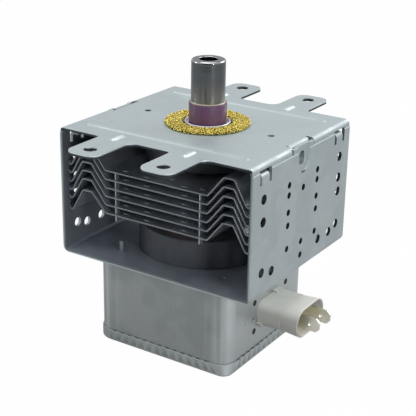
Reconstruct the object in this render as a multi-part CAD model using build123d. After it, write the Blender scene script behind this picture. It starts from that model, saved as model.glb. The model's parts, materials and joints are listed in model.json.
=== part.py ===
"""Microwave-oven magnetron with its cooling fins and filter box, in millimetres.

The origin is on the antenna's axis, at the upper face of the upper yoke plate. +Z runs along the antenna,
+X points to the supply terminals, and cooling air passes along Y through the open front and back.
"""

from build123d import *
import math
import os

# Yoke: an upper plate whose folded edges nest inside a U-shaped frame, both of plated steel sheet
yoke_width = 97.0
yoke_depth = 83.5
yoke_height = 58.1
wall_thickness = 1.4
wall_bend_radius = 3.0
wall_top_drop = 2.9
plate_thickness = 1.4
plate_bend_radius = 2.2
plate_edge_inset = 0.3
plate_flange_depth = 12.0
nest_clearance = 0.1

# Four mounting ears of the upper plate
ear_hole_spacing_x = 36.0
ear_hole_spacing_y = 117.4
ear_hole_diameter = 5.8
ear_width = 15.8
ear_tip_margin = 7.5
ear_tip_radius = 5.0
ear_tight_root_radius = 3.0
ear_broad_root_radius = 4.5

# Pressed ribs, beads and locating holes of the upper plate
rib_length = 8.0
rib_width = 2.2
rib_height = 0.6
rib_overhang = 3.0
bead_end_inset = 3.8
bead_width = 1.4
bead_height = 0.2
bead_inset = 9.2
bead_stop_diameter = 2.2
bead_stop_height = 0.45
locating_hole_spacing = 64.0
locating_hole_diameter = 3.0
press_draft = 30.0

# Middle tongues: each wall and the plate's edge, pressed inwards together, share a ground screw slot
relief_spacing = 16.8
relief_slit_width = 1.0
tongue_width = 17.8
tongue_offset = -0.9
tongue_rise = 2.2
tongue_margin = 0.6
recess_width = 10.6
recess_offset = -0.6
recess_drop = 9.9
recess_depth = 0.8
ground_slot_length = 6.2
ground_slot_width = 4.4
ground_slot_offset = -1.3
ground_slot_drop = 6.2
ground_hole_diameter = 4.0
ground_hole_rise = 0.8

# Corner locks: a strip of each wall, cut free by two slots, curls in through a notch in the plate's edge
lock_offset = 32.0
lock_strip_width = 5.8
lock_slot_width = 1.7
lock_slot_depth = 5.5
lock_curl_drop = 0.8
lock_curl_radius = 2.2
lock_curl_reach = 4.6
lock_notch_rise = 0.7

# Holes of the right wall, as distances from the middle plane and heights below the plate's upper face
small_hole_diameter = 2.9
small_hole_column = 12.3
small_hole_drops = (15.0, 19.5, 27.1, 33.0, 43.5)
middle_hole_drops = (19.4, 44.1, 50.4)
large_hole_diameter = 4.2
large_hole_column = 33.0
front_hole_drops = (14.9, 24.6, 46.8)
back_hole_drops = (14.9, 24.6, 31.2, 46.8)
front_low_hole = (-24.8, 48.8)
back_low_holes = ((16.0, 48.6), (26.3, 48.6))

# Ring magnets of hard ferrite
magnet_thickness = 13.0
magnet_bore_clearance = 1.0
upper_magnet_diameter = 54.0
lower_magnet_diameter = 60.0
magnet_edge_radius = 0.6

# Vacuum tube body: anode, pole pieces and the two seal cups
anode_diameter = 40.0
anode_wall = 2.4
seal_sheet = 0.5
seal_flange_inset = 0.2
seal_neck_diameter = 20.4
seal_corner_radius = 0.45
seal_lip_overlap = 1.4
seal_rim_width = 0.9
seal_rim_depth = 1.0
seal_rim_radius = 0.25
neck_clearance = 0.5
harmonic_ring_sheet = 0.4
harmonic_ring_length = 6.0
harmonic_ring_diameter = 15.2
pole_thickness = 1.6
pole_rim_width = 2.0
pole_tip_diameter = 18.0
pole_bore_diameter = 9.4
pole_gap = 1.8
braze_gap = 0.05

# Anode vanes and the strap rings that tie every second vane together
vane_count = 10
vane_thickness = 1.9
vane_height = 9.5
interaction_diameter = 9.2
inner_strap_diameter = 13.2
strap_gap = 1.2
strap_width = 1.2
strap_height = 1.3
strap_recess = 0.2
strap_relief = 0.6
strap_groove_margin = 0.5

# Cathode: a coiled filament between two end hats, on two leads
filament_wire = 0.5
filament_diameter = 3.7
filament_pitch = 1.25
filament_length = 8.4
hat_diameter = 7.2
hat_thickness = 0.8
hat_hub_diameter = 2.8
hat_hub_length = 1.4
lead_diameter = 1.4
side_lead_offset = 2.6
lead_clearance = 0.4

# Antenna: ceramic window, exhaust tube, lead and cap
antenna_lift = 1.3
window_diameter = 16.7
window_wall = 2.05
window_length = 9.4
cap_diameter = 15.0
cap_length = 18.8
cap_sheet = 0.5
cap_rim_radius = 0.9
cap_lip_radius = 0.3
cap_well_diameter = 8.2
cap_well_depth = 5.0
tube_clearance = 0.1
tube_wall = 0.5
tube_skirt_length = 2.4
tube_taper_length = 3.0
tube_neck_diameter = 6.4
pinch_gap = 0.9
pinch_length = 2.4
pinch_width = 8.6
pinch_thickness = 0.8
antenna_rod_diameter = 2.4
antenna_rod_offset = 10.5
antenna_rod_rise = 4.5
antenna_rod_bend = 4.0
antenna_rod_join_drop = 7.0
antenna_rod_top_gap = 0.6
antenna_port_clearance = 1.4

# Knitted brass gasket round the antenna
gasket_diameter = 38.0
gasket_bore_margin = 0.1
gasket_thickness = 1.5
gasket_edge_radius = 0.65

# Cooling fins: thin folded sheets, pressed onto the anode, whose wings end in hooks on the walls
fin_count = 6
fin_thickness = 0.6
fin_depth = 79.0
fin_first_drop = 1.65
fin_last_rise = 7.15
fin_rise_inset = 1.0
fin_rise_run = 7.5
fin_crest_width = 4.9
fin_crest_height = 9.3
fin_valley_inset = 1.7
fin_valley_drop = 2.0
fin_hook_height = 2.2
fin_bend_radius = 1.0
fin_wall_gap = 0.1
fin_droop = 1.3
fin_collar_wall = 0.6
fin_collar_gap = 0.1
fin_fit = 0.05
fin_spacer_offset = 21.5
fin_spacer_length = 2.4
fin_spacer_setback = 1.3
fin_spacer_foot = 3.0

# Filter box: a drawn steel cup under the yoke, shut by a lid with a pleated skirt
box_width = 70.0
box_depth = 68.0
box_height = 41.3
box_offset = (-1.0, -0.5)
box_sheet = 0.6
box_corner_radius = 7.8
box_top_radius = 1.6
box_tab_width = 1.8
box_tab_height = 4.5
box_tab_inset = (10.5, 5.2)
box_tab_clearance = 0.2
spare_hole_diameter = 2.6
spare_hole_place = (27.0, -28.3)
lid_sheet = 0.5
lid_skirt_height = 4.8
lid_fit = 0.05
lid_corner_radius = 5.6
pleat_pitch = 4.1
pleat_width = 2.1
pleat_height = 0.6
lid_slit_width = 0.5
lid_slit_foot = 0.9

# Supply connector and its feed-through capacitor in the box's right wall
connector_offset = 1.7
connector_rise = 19.5
shroud_width = 24.0
shroud_height = 12.6
shroud_wall = 1.1
shroud_reach = 20.4
shroud_step_reach = 12.2
shroud_step = 0.25
shroud_flare = 5.0
shroud_mouth_radius = 0.3
shroud_clearance = 0.3
snap_lug_middle = -3.1
snap_lug_offset = 7.5
snap_lug_width = 5.6
snap_lug_proud = 1.0
snap_lug_reach = 2.2
snap_lug_fit = 0.05
ground_plate_thickness = 0.8
ground_plate_margin = 3.4
ground_plate_corner_radius = 2.0
ground_plate_port_diameter = 6.4
eyelet_margin_y = 3.2
eyelet_margin_z = 1.2
eyelet_hole_diameter = 2.9
eyelet_wall = 0.5
eyelet_fit = 0.1
eyelet_proud = 0.4
pin_hole_margin = 2.7
pin_hole_rise = -0.4
pin_hole_diameter = 1.5
dimple_diameter = 1.5
dimple_height = 0.35
dimple_margin = 9.4
dimple_rises = (2.5, -0.1)
element_length = 7.0
element_fit = 0.1
element_port_diameter = 4.4
potting_depth = 3.6
inner_case_width = 22.0
inner_case_height = 12.0
inner_case_wall = 1.0
inner_case_length = 12.0
terminal_spacing = 10.0
terminal_rod_diameter = 2.4
terminal_rod_overhang = 3.0
tab_width = 6.35
tab_thickness = 0.8
tab_reach = 7.2
tab_chamfer = 1.6
tab_hole_diameter = 1.7
tab_hole_inset = 4.6
tab_root_depth = 1.4

# Cathode stem inside the filter box
lower_neck_drop = 6.0
stem_length = 8.5
stem_lead_fit = 0.1
stem_tag_thickness = 0.5
stem_tag_gap = 0.6
stem_tag_width = 4.0
stem_tag_drop = 4.5
stem_tag_offset = -6.0

# Choke coils: enamelled copper wire wound on ferrite rods, between the stem and the terminals
choke_wire = 1.4
choke_core_diameter = 5.0
choke_core_gap = 0.4
choke_core_length = 22.0
choke_pitch = 1.7
choke_full_turns = 11
choke_offset = 15.0
choke_start_gap = 5.0
choke_bend_radius = 1.5

# Heights and half sizes that the parts share
plate_underside = -plate_thickness
wall_outer = yoke_width / 2
wall_inner = wall_outer - wall_thickness
wall_top = -wall_top_drop
floor_underside = -yoke_height
floor_top = floor_underside + wall_thickness
plate_edge_outer = wall_outer - plate_edge_inset
plate_edge_foot = wall_top + nest_clearance
tongue_plate_outer = wall_inner - nest_clearance - recess_depth
tongue_top = wall_top + tongue_rise
relief_start = tongue_plate_outer - plate_bend_radius
neck_bore_diameter = seal_neck_diameter + 2 * neck_clearance
upper_magnet_underside = plate_underside - magnet_thickness
lower_magnet_top = floor_top + magnet_thickness
anode_top = upper_magnet_underside - seal_sheet
anode_bottom = lower_magnet_top + seal_sheet
anode_middle = (anode_top + anode_bottom) / 2
anode_bore_diameter = anode_diameter - 2 * anode_wall
outer_strap_diameter = inner_strap_diameter + 2 * (strap_width + strap_gap)
fin_pitch = (anode_top - anode_bottom - fin_first_drop - fin_last_rise) / (fin_count - 1)
fin_flat_half = upper_magnet_diameter / 2 - fin_rise_inset
vane_top = anode_middle + vane_height / 2
window_foot = antenna_lift - seal_rim_depth
window_top = window_foot + window_length
cap_top = window_top + cap_length
box_top = floor_underside
box_inner_top = box_top - box_sheet
box_rim = box_top - box_height
lid_underside = box_rim - lid_sheet
box_face = box_offset[0] + box_width / 2
box_face_inner = box_face - box_sheet
connector_height = box_rim + connector_rise
eyelet_spacing_y = shroud_width + eyelet_margin_y
eyelet_spacing_z = shroud_height + eyelet_margin_z
box_tab_place = tuple(middle - size / 2 + inset for middle, size, inset in zip(
    box_offset, (box_width, box_depth), box_tab_inset
))
lower_neck_end = box_inner_top - lower_neck_drop
stem_end = lower_neck_end + seal_rim_depth - stem_length
stem_tag_face = stem_end - stem_tag_thickness
touching = 0.01

side_face = Plane(origin=(wall_outer, 0, 0), x_dir=(0, 1, 0), z_dir=(1, 0, 0))
connector_face = Plane(
    origin=(box_face_inner, connector_offset, connector_height), x_dir=(0, 1, 0), z_dir=(1, 0, 0)
)
half_turn = Rot(0, 0, 180)


def beside(points, distance):
    """Points of a line that runs beside a folded line, to its left, at one distance."""
    normals = []
    for (x0, y0), (x1, y1) in zip(points, points[1:]):
        length = math.hypot(x1 - x0, y1 - y0)
        normals.append(((y0 - y1) / length, (x1 - x0) / length))
    shifted = []
    for (x, y), (ax, ay), (bx, by) in zip(points, [normals[0]] + normals, normals + [normals[-1]]):
        scale = distance / (1 + ax * bx + ay * by)
        shifted.append((x + (ax + bx) * scale, y + (ay + by) * scale))
    return shifted


def left_turns(points):
    """For each inner point of a folded line, +1 where it turns left and -1 where it turns right."""
    turns = []
    for (x0, y0), (x1, y1), (x2, y2) in zip(points, points[1:], points[2:]):
        cross = (x1 - x0) * (y2 - y1) - (y1 - y0) * (x2 - x1)
        turns.append(math.copysign(1, cross))
    return turns


def rounded_edges(points, radii, closed=False):
    """Edges of a line through corner points, each corner rounded to its own radius, in the XY plane."""
    corners = [Vector(*point) for point in points]
    ends = () if closed else (0, len(corners) - 1)
    joints = []
    for i, (corner, radius) in enumerate(zip(corners, radii)):
        if i in ends or radius < touching:
            joints.append((corner, corner, None))
            continue
        back = (corners[i - 1] - corner).normalized()
        ahead = (corners[(i + 1) % len(corners)] - corner).normalized()
        half_angle = math.radians(back.get_angle(ahead)) / 2
        run = radius / math.tan(half_angle)
        crown = corner + (back + ahead).normalized() * (radius / math.sin(half_angle) - radius)
        joints.append((corner + back * run, corner + ahead * run, crown))
    edges = [Edge.make_three_point_arc(enter, crown, leave) for enter, leave, crown in joints if crown]
    followers = joints[1:] + joints[:1] if closed else joints[1:]
    for (_, leave, _), (enter, _, _) in zip(joints, followers):
        if (enter - leave).length > touching:
            edges.append(Edge.make_line(leave, enter))
    return edges


def folded_section(points, thickness, inner_radius):
    """Section of a folded sheet, as a face in X and Z, from the corner points of its middle line."""
    half = thickness / 2
    middle_radius = inner_radius + half
    turns = left_turns(points)
    left = beside(points, half)
    right = beside(points, -half)
    edges = rounded_edges(left, [0, *(middle_radius - turn * half for turn in turns), 0])
    edges += rounded_edges(right, [0, *(middle_radius + turn * half for turn in turns), 0])
    edges += [Edge.make_line(Vector(*left[end]), Vector(*right[end])) for end in (0, -1)]
    return Plane.XZ * make_face(edges)


def along_depth(section, low, high):
    """Solid of an X and Z section, carried along Y from low to high."""
    return Pos(0, (low + high) / 2, 0) * extrude(section, (high - low) / 2, both=True)


def block(low, high):
    """Plain block between two opposite corners."""
    size = [b - a for a, b in zip(low, high)]
    middle = [(a + b) / 2 for a, b in zip(low, high)]
    return Pos(*middle) * Box(*size)


def ring(outer_radius, inner_radius, low, high):
    """Plain ring about the antenna's axis, between two heights."""
    height = high - low
    return Pos(0, 0, (low + high) / 2) * (Cylinder(outer_radius, height) - Cylinder(inner_radius, height))


def turned(points, roundings=None):
    """Solid turned about the antenna's axis from (radius, height) corners, some rounded by their index."""
    radii = [(roundings or {}).get(i, 0) for i in range(len(points))]
    return revolve(Plane.XZ * make_face(rounded_edges(points, radii, closed=True)), Axis.Z)


def rod(start, end, radius):
    """Round rod between two points."""
    path = Vector(*end) - Vector(*start)
    return extrude(Plane(origin=start, z_dir=path) * Circle(radius), path.length)


def corners_at(outline, places):
    """Corners of a flat outline at the given (x, y) places."""
    return [
        corner
        for corner in outline.vertices()
        if any(math.hypot(corner.X - x, corner.Y - y) < touching for x, y in places)
    ]


def mirrored_in_depth(solid):
    """The same solid on the other side of the middle plane across Y."""
    return mirror(solid, Plane.XZ)


def front_plate_half():
    """Front half of the upper plate's flat outline, whose two ears have a tight and a broad root fillet."""
    half_depth = yoke_depth / 2
    tip = ear_hole_spacing_y / 2 + ear_tip_margin
    half_ear = ear_width / 2
    centres = (-ear_hole_spacing_x / 2, ear_hole_spacing_x / 2)
    outline = Pos(0, -half_depth / 2) * Rectangle(2 * relief_start, half_depth)
    for x in centres:
        outline += Pos(x, -tip / 2) * Rectangle(ear_width, tip)
    tips = [(x + side * half_ear, -tip) for x in centres for side in (-1, 1)]
    outline = fillet(corners_at(outline, tips), ear_tip_radius)
    tight = [(x - half_ear, -half_depth) for x in centres]
    outline = fillet(corners_at(outline, tight), ear_tight_root_radius)
    broad = [(x + half_ear, -half_depth) for x in centres]
    return fillet(corners_at(outline, broad), ear_broad_root_radius)


def dome_radius(width, height):
    """Radius of the ball whose cap has one width and one height."""
    return (width**2 / 4 + height**2) / (2 * height)


def pressed_dome(width, height):
    """Low round swelling of the plate's upper face: the cap of a ball that is sunk in the plate."""
    radius = dome_radius(width, height)
    slab = block((-width, -width, -plate_thickness / 2), (width, width, height))
    return (Pos(0, 0, height - radius) * Sphere(radius)) & slab


def pressed_rib(length, width, height):
    """Long low swelling of the plate along X: the top of a round-ended rod that is sunk in the plate."""
    radius = dome_radius(width, height)
    whole = length - width + 2 * radius
    half_slot = SlotOverall(whole, 2 * radius) & (Pos(0, radius / 2) * Rectangle(whole, radius))
    slab = block((-length, -width, -plate_thickness / 2), (length, width, height))
    return (Pos(0, 0, height - radius) * revolve(half_slot, Axis.X)) & slab


def plate_swellings():
    """Ribs at the ear roots and the two long beads with their end stops."""
    root = yoke_depth / 2 + rib_overhang - rib_length / 2
    bead_y = yoke_depth / 2 - bead_inset
    bead_end = relief_start - bead_end_inset
    swellings = []
    bead = pressed_rib(2 * bead_end, bead_width, bead_height)
    rib = Rot(0, 0, 90) * pressed_rib(rib_length, rib_width, rib_height)
    stop = pressed_dome(bead_stop_diameter, bead_stop_height)
    for y in (-1, 1):
        swellings.append(Pos(0, y * bead_y) * bead)
        for x in (-1, 1):
            swellings.append(Pos(x * ear_hole_spacing_x / 2, y * root) * rib)
            swellings.append(Pos(x * bead_end, y * bead_y) * stop)
    return swellings


def plate_edge_section(outer, foot):
    """Section of the plate's folded right edge, from the flat to its foot."""
    middle = plate_thickness / 2
    corner = outer - middle
    points = [(relief_start, -middle), (corner, -middle), (corner, foot)]
    return folded_section(points, plate_thickness, plate_bend_radius - plate_thickness)


def edge_notch(low_y, high_y, top):
    """Cutting tool for a notch in the lower edge of the plate's outer lengths."""
    return block((relief_start, low_y, wall_top), (wall_outer, high_y, top))


def plate_edge():
    """Folded right edge of the plate: two lengths over the wall's top, and a tongue inside the wall."""
    half_depth = yoke_depth / 2
    near = (relief_spacing - relief_slit_width) / 2
    far = (relief_spacing + relief_slit_width) / 2
    outer_length = along_depth(plate_edge_section(plate_edge_outer, plate_edge_foot), far, half_depth)
    outer_lengths = [outer_length, mirrored_in_depth(outer_length)]
    reach = tongue_width / 2 + tongue_margin
    notches = [edge_notch(tongue_offset - reach, tongue_offset + reach, tongue_top + nest_clearance)]
    half_gap = lock_strip_width / 2 + lock_slot_width
    for y in (-lock_offset, lock_offset):
        notches.append(edge_notch(y - half_gap, y + half_gap, wall_top + lock_notch_rise))
    for notch in notches:
        outer_lengths = [length - notch for length in outer_lengths]
    tongue = along_depth(plate_edge_section(tongue_plate_outer, -plate_flange_depth), -near, near)
    ground = Pos(ground_slot_offset, -ground_slot_drop + ground_hole_rise) * Circle(ground_hole_diameter / 2)
    tongue -= extrude(side_face * ground, -2 * (wall_outer - relief_start))
    return [*outer_lengths, tongue]


def upper_yoke():
    """Upper yoke plate with its ears, folded edges, ribs, beads and holes."""
    half = front_plate_half()
    plate = extrude(half + half_turn * half, -plate_thickness)
    for length in plate_edge():
        plate += [length, half_turn * length]
    for swelling in plate_swellings():
        plate += swelling
    bores = Circle(neck_bore_diameter / 2)
    for x in (-1, 1):
        bores += Pos(x * locating_hole_spacing / 2, 0) * Circle(locating_hole_diameter / 2)
        for y in (-1, 1):
            place = Pos(x * ear_hole_spacing_x / 2, y * ear_hole_spacing_y / 2)
            bores += place * Circle(ear_hole_diameter / 2)
    return plate - extrude(bores, plate_thickness, both=True)


def recess_outline(margin):
    """U-shaped outline of the pressed recess on the wall's face, open at the top, with a margin round it."""
    width = recess_width + 2 * margin
    length = 2 * recess_drop + 2 * margin
    return Pos(recess_offset, wall_top) * SlotOverall(length, width, rotation=90)


def wall_tongue():
    """Middle tongue that stands above the right wall's top edge."""
    low = (wall_inner, tongue_offset - tongue_width / 2, wall_top - wall_thickness)
    high = (wall_outer, tongue_offset + tongue_width / 2, tongue_top)
    return block(low, high)


def recess_bump():
    """Swelling on the right wall's inner face behind the pressed recess, up to the tongue's top edge."""
    inner_face = side_face.offset(-wall_thickness)
    bump = extrude(inner_face * recess_outline(recess_depth), -recess_depth, taper=press_draft)
    above = block((0, -yoke_depth / 2, tongue_top), (wall_outer, yoke_depth / 2, yoke_height))
    return bump - above


def wall_holes():
    """Cutting tool for every round hole and the ground screw slot of the right wall."""
    small = [(y, drop) for y in (-small_hole_column, small_hole_column) for drop in small_hole_drops]
    small += [(0, drop) for drop in middle_hole_drops]
    large = [(-large_hole_column, drop) for drop in front_hole_drops]
    large += [(large_hole_column, drop) for drop in back_hole_drops]
    large += [front_low_hole, *back_low_holes]
    holes = Pos(ground_slot_offset, -ground_slot_drop) * SlotOverall(
        ground_slot_length, ground_slot_width, rotation=90
    )
    for y, drop in small:
        holes += Pos(y, -drop) * Circle(small_hole_diameter / 2)
    for y, drop in large:
        holes += Pos(y, -drop) * Circle(large_hole_diameter / 2)
    return extrude(side_face * holes, -wall_thickness - 2 * recess_depth)


def lock_strip(y):
    """Strip of the right wall that rises between its two slots and curls inwards."""
    middle = wall_outer - wall_thickness / 2
    foot = wall_top - lock_slot_depth
    top = wall_top - lock_curl_drop - wall_thickness / 2
    points = [(middle, foot - touching), (middle, top), (wall_outer - lock_curl_reach, top)]
    section = folded_section(points, wall_thickness, lock_curl_radius - wall_thickness)
    return along_depth(section, y - lock_strip_width / 2, y + lock_strip_width / 2)


def lock_gap(y):
    """Opening of the right wall round one lock strip, open at the top edge."""
    half = lock_strip_width / 2 + lock_slot_width
    return block((wall_inner, y - half, wall_top - lock_slot_depth), (wall_outer, y + half, wall_top))


def yoke_frame():
    """U-shaped frame: a floor and two walls, each wall the other's copy turned half round."""
    middle = wall_outer - wall_thickness / 2
    floor = floor_underside + wall_thickness / 2
    points = [(-middle, wall_top), (-middle, floor), (middle, floor), (middle, wall_top)]
    section = folded_section(points, wall_thickness, wall_bend_radius - wall_thickness)
    frame = along_depth(section, -yoke_depth / 2, yoke_depth / 2)
    pocket = extrude(side_face * recess_outline(0), -recess_depth, taper=press_draft)
    for turn in (Rot(0, 0, 0), half_turn):
        frame += turn * wall_tongue()
        frame += turn * recess_bump()
        frame -= turn * pocket
        frame -= turn * wall_holes()
        for y in (-lock_offset, lock_offset):
            frame -= turn * lock_gap(y)
            frame += turn * lock_strip(y)
    return frame - floor_openings()


def floor_openings():
    """Cutting tool for the frame's floor: the seal neck's bore, two tab slots and two spare holes."""
    openings = Circle(neck_bore_diameter / 2)
    slot = Rectangle(box_tab_width + 2 * box_tab_clearance, box_sheet + 2 * box_tab_clearance)
    for turn in (Rot(0, 0, 0), half_turn):
        openings += turn * Pos(*box_tab_place) * slot
        openings += turn * Pos(*spare_hole_place) * Circle(spare_hole_diameter / 2)
    return Pos(0, 0, floor_underside) * extrude(openings, wall_thickness)


def magnet(diameter, low):
    """Ring magnet with eased edges, standing on one height."""
    solid = ring(diameter / 2, seal_neck_diameter / 2 + magnet_bore_clearance, low, low + magnet_thickness)
    return fillet(solid.edges().filter_by(GeomType.CIRCLE), magnet_edge_radius)


def seal_cup(end_face, rim_face):
    """Drawn cup that seals one end of the tube: a flange, and a neck folded into a rim round a sunk seat."""
    side = math.copysign(1, rim_face - end_face)
    flange = anode_diameter / 2 - seal_flange_inset
    neck = seal_neck_diameter / 2
    rim = neck - seal_rim_width
    lip = window_diameter / 2 - seal_lip_overlap
    seat_face = rim_face - side * seal_rim_depth
    outline = [
        (flange, end_face),
        (flange, end_face + side * seal_sheet),
        (neck, end_face + side * seal_sheet),
        (neck, rim_face),
        (rim, rim_face),
        (rim, seat_face),
        (lip, seat_face),
        (lip, seat_face - side * seal_sheet),
        (neck - seal_sheet, seat_face - side * seal_sheet),
        (neck - seal_sheet, end_face),
    ]
    return turned(outline, {3: seal_corner_radius, 4: seal_rim_radius, 8: seal_rim_radius})


def harmonic_ring():
    """Flanged ring under the upper seal cup's seat, which stops the harmonics of the microwaves."""
    flange_face = window_foot - seal_sheet
    flange = seal_neck_diameter / 2 - seal_sheet - seal_rim_radius
    tube = harmonic_ring_diameter / 2
    end = flange_face - harmonic_ring_length
    solid = ring(flange, tube - harmonic_ring_sheet, flange_face - harmonic_ring_sheet, flange_face)
    return solid + ring(tube, tube - harmonic_ring_sheet, end, flange_face - harmonic_ring_sheet)


def pole_piece(rim_face, tip_face):
    """Funnel-shaped steel pole piece, from its rim at the anode's end to its tip beside the vanes."""
    side = math.copysign(1, rim_face - tip_face)
    rim = anode_bore_diameter / 2 - braze_gap
    tip = pole_tip_diameter / 2
    bore = pole_bore_diameter / 2
    outline = [
        (rim, rim_face),
        (rim, rim_face - side * pole_thickness),
        (rim - pole_rim_width, rim_face - side * pole_thickness),
        (tip, tip_face),
        (bore, tip_face),
        (bore, tip_face + side * pole_thickness),
        (tip - pole_thickness / 2, tip_face + side * pole_thickness),
        (rim - pole_rim_width - pole_thickness / 2, rim_face),
    ]
    return turned(outline)


def upper_pole_piece():
    """Pole piece on the antenna's side, with the port that the antenna lead passes through."""
    port = Cylinder(antenna_rod_diameter / 2 + antenna_port_clearance, yoke_height)
    return pole_piece(anode_top, vane_top + pole_gap) - Pos(antenna_rod_offset, 0, 0) * port


def strap_bands():
    """Radial span of each strap's groove: inner strap first, then outer strap."""
    middle = (inner_strap_diameter + outer_strap_diameter) / 4
    inner = inner_strap_diameter / 2 - strap_width / 2 - strap_groove_margin
    outer = outer_strap_diameter / 2 + strap_width / 2 + strap_groove_margin
    return (inner, middle), (middle, outer)


def anode_vane(index):
    """Radial vane, grooved at both ends so that it carries one pair of straps and clears the other."""
    vane = block(
        (interaction_diameter / 2, -vane_thickness / 2, -vane_height / 2),
        (anode_diameter / 2, vane_thickness / 2, vane_height / 2),
    )
    for band_index, (near, far) in enumerate(strap_bands()):
        carries = index % 2 == band_index
        depth = strap_recess + strap_height + (0 if carries else strap_relief)
        groove = block((near, -vane_thickness, vane_height / 2 - depth), (far, vane_thickness, vane_height))
        vane -= [groove, mirror(groove, Plane.XY)]
    vane &= Cylinder(anode_bore_diameter / 2, vane_height)
    return Pos(0, 0, anode_middle) * Rot(0, 0, index * 360 / vane_count) * vane


def strap_ring(diameter, side):
    """Strap ring in its groove, above (+1) or below (-1) the vanes."""
    outer_end = anode_middle + side * (vane_height / 2 - strap_recess)
    inner_end = outer_end - side * strap_height
    low, high = sorted((inner_end, outer_end))
    return ring((diameter + strap_width) / 2, (diameter - strap_width) / 2, low, high)


def coiled_wire(wire, diameter, pitch, length):
    """Round wire wound about the Z axis from height zero, starting on +X."""
    path = Helix(pitch, length, diameter / 2)
    start = Plane(origin=path @ 0, z_dir=path % 0)
    return sweep(start * Circle(wire / 2), Wire([path.edge()]), is_frenet=True)


def filament():
    """Coiled cathode filament between the end hats."""
    low = anode_middle - filament_length / 2
    return Pos(0, 0, low) * coiled_wire(filament_wire, filament_diameter, filament_pitch, filament_length)


def hat_face(side):
    """Height of an end hat's face on the filament's side."""
    return anode_middle + side * (filament_length / 2 + filament_wire / 2)


def upper_end_hat():
    """Upper end hat, with the hub that the centre lead ends in."""
    face = hat_face(1)
    hub_foot = face + hat_thickness
    hat = ring(hat_diameter / 2, lead_diameter / 2, face, hub_foot)
    return hat + ring(hat_hub_diameter / 2, lead_diameter / 2, hub_foot, hub_foot + hat_hub_length)


def lower_end_hat():
    """Lower end hat, with a bore that clears the centre lead."""
    face = hat_face(-1)
    return ring(hat_diameter / 2, lead_diameter / 2 + lead_clearance, face - hat_thickness, face)


def centre_lead():
    """Lead from the upper end hat, through the filament, to the stem's first tag."""
    top = hat_face(1) + hat_thickness + hat_hub_length
    return rod((0, 0, stem_tag_face), (0, 0, top), lead_diameter / 2)


def side_lead():
    """Lead from the lower end hat's underside to the stem's second tag."""
    top = hat_face(-1) - hat_thickness
    return rod((side_lead_offset, 0, stem_tag_face), (side_lead_offset, 0, top), lead_diameter / 2)


def antenna_window():
    """Ceramic tube that carries the cap and passes the microwaves."""
    return ring(window_diameter / 2, window_diameter / 2 - window_wall, window_foot, window_top)


def tube_neck_top():
    """Height where the exhaust tube's neck ends and its pinch begins."""
    return cap_top - cap_well_depth - cap_sheet - pinch_gap - pinch_length


def exhaust_tube():
    """Copper tube that closes the ceramic, narrows under the cap and ends in a pinched edge."""
    skirt = cap_diameter / 2 - cap_sheet - tube_clearance
    neck = tube_neck_diameter / 2
    shoulder = window_top + tube_skirt_length
    throat = shoulder + tube_taper_length
    top = tube_neck_top()
    outline = [
        (skirt, window_top),
        (skirt, shoulder),
        (neck, throat),
        (neck, top),
        (0, top),
        (0, top - tube_wall),
        (neck - tube_wall, top - tube_wall),
        (neck - tube_wall, throat),
        (skirt - tube_wall, shoulder),
        (skirt - tube_wall, window_top),
    ]
    pinch = loft([
        Pos(0, 0, top) * Circle(neck),
        Pos(0, 0, top + pinch_length) * Rectangle(pinch_width, pinch_thickness),
    ])
    return turned(outline) + pinch


def antenna_lead():
    """Copper rod from a vane's edge, through the upper pole piece, up the axis to the exhaust tube's end."""
    foot = vane_top
    points = [
        (antenna_rod_offset, foot),
        (antenna_rod_offset, foot + antenna_rod_rise),
        (0, -antenna_rod_join_drop),
        (0, tube_neck_top() - tube_wall - antenna_rod_top_gap),
    ]
    path = Plane.XZ * Wire(rounded_edges(points, [0, antenna_rod_bend, antenna_rod_bend, 0]))
    start = Plane(origin=(antenna_rod_offset, 0, foot))
    return sweep(start * Circle(antenna_rod_diameter / 2), path)


def antenna_cap():
    """Drawn cap over the exhaust tube, with a rolled rim and a sunk well in its top."""
    outer = cap_diameter / 2
    well = cap_well_diameter / 2
    floor = cap_top - cap_well_depth
    outline = [
        (outer, window_top),
        (outer, cap_top),
        (well, cap_top),
        (well, floor),
        (0, floor),
        (0, floor - cap_sheet),
        (well + cap_sheet, floor - cap_sheet),
        (well + cap_sheet, cap_top - cap_sheet),
        (outer - cap_sheet, cap_top - cap_sheet),
        (outer - cap_sheet, window_top),
    ]
    return turned(outline, {1: cap_rim_radius, 2: cap_lip_radius, 8: cap_rim_radius - cap_sheet})


def rf_gasket():
    """Ring of knitted wire mesh, pressed to a soft-edged section."""
    outer = gasket_diameter / 2
    inner = neck_bore_diameter / 2 + gasket_bore_margin
    outline = [(inner, 0), (outer, 0), (outer, gasket_thickness), (inner, gasket_thickness)]
    return turned(outline, {index: gasket_edge_radius for index in range(len(outline))})


def fin_height(index):
    """Height of a fin's middle line in its flat middle, counted from the top fin."""
    return anode_top - fin_first_drop + fin_thickness / 2 - index * fin_pitch


def fin_wing(level, droop):
    """Corner points of the right wing's middle line, from the hook at the wall to the flat middle."""
    hook = wall_inner - fin_wall_gap - fin_thickness / 2
    crest_start = fin_flat_half + fin_rise_run
    valley = level - fin_valley_drop - droop
    crest = level + fin_crest_height - droop
    return [
        (hook, valley + fin_hook_height),
        (hook - fin_valley_inset, valley),
        (crest_start + fin_crest_width, crest),
        (crest_start, crest),
        (fin_flat_half, level),
    ]


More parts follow.
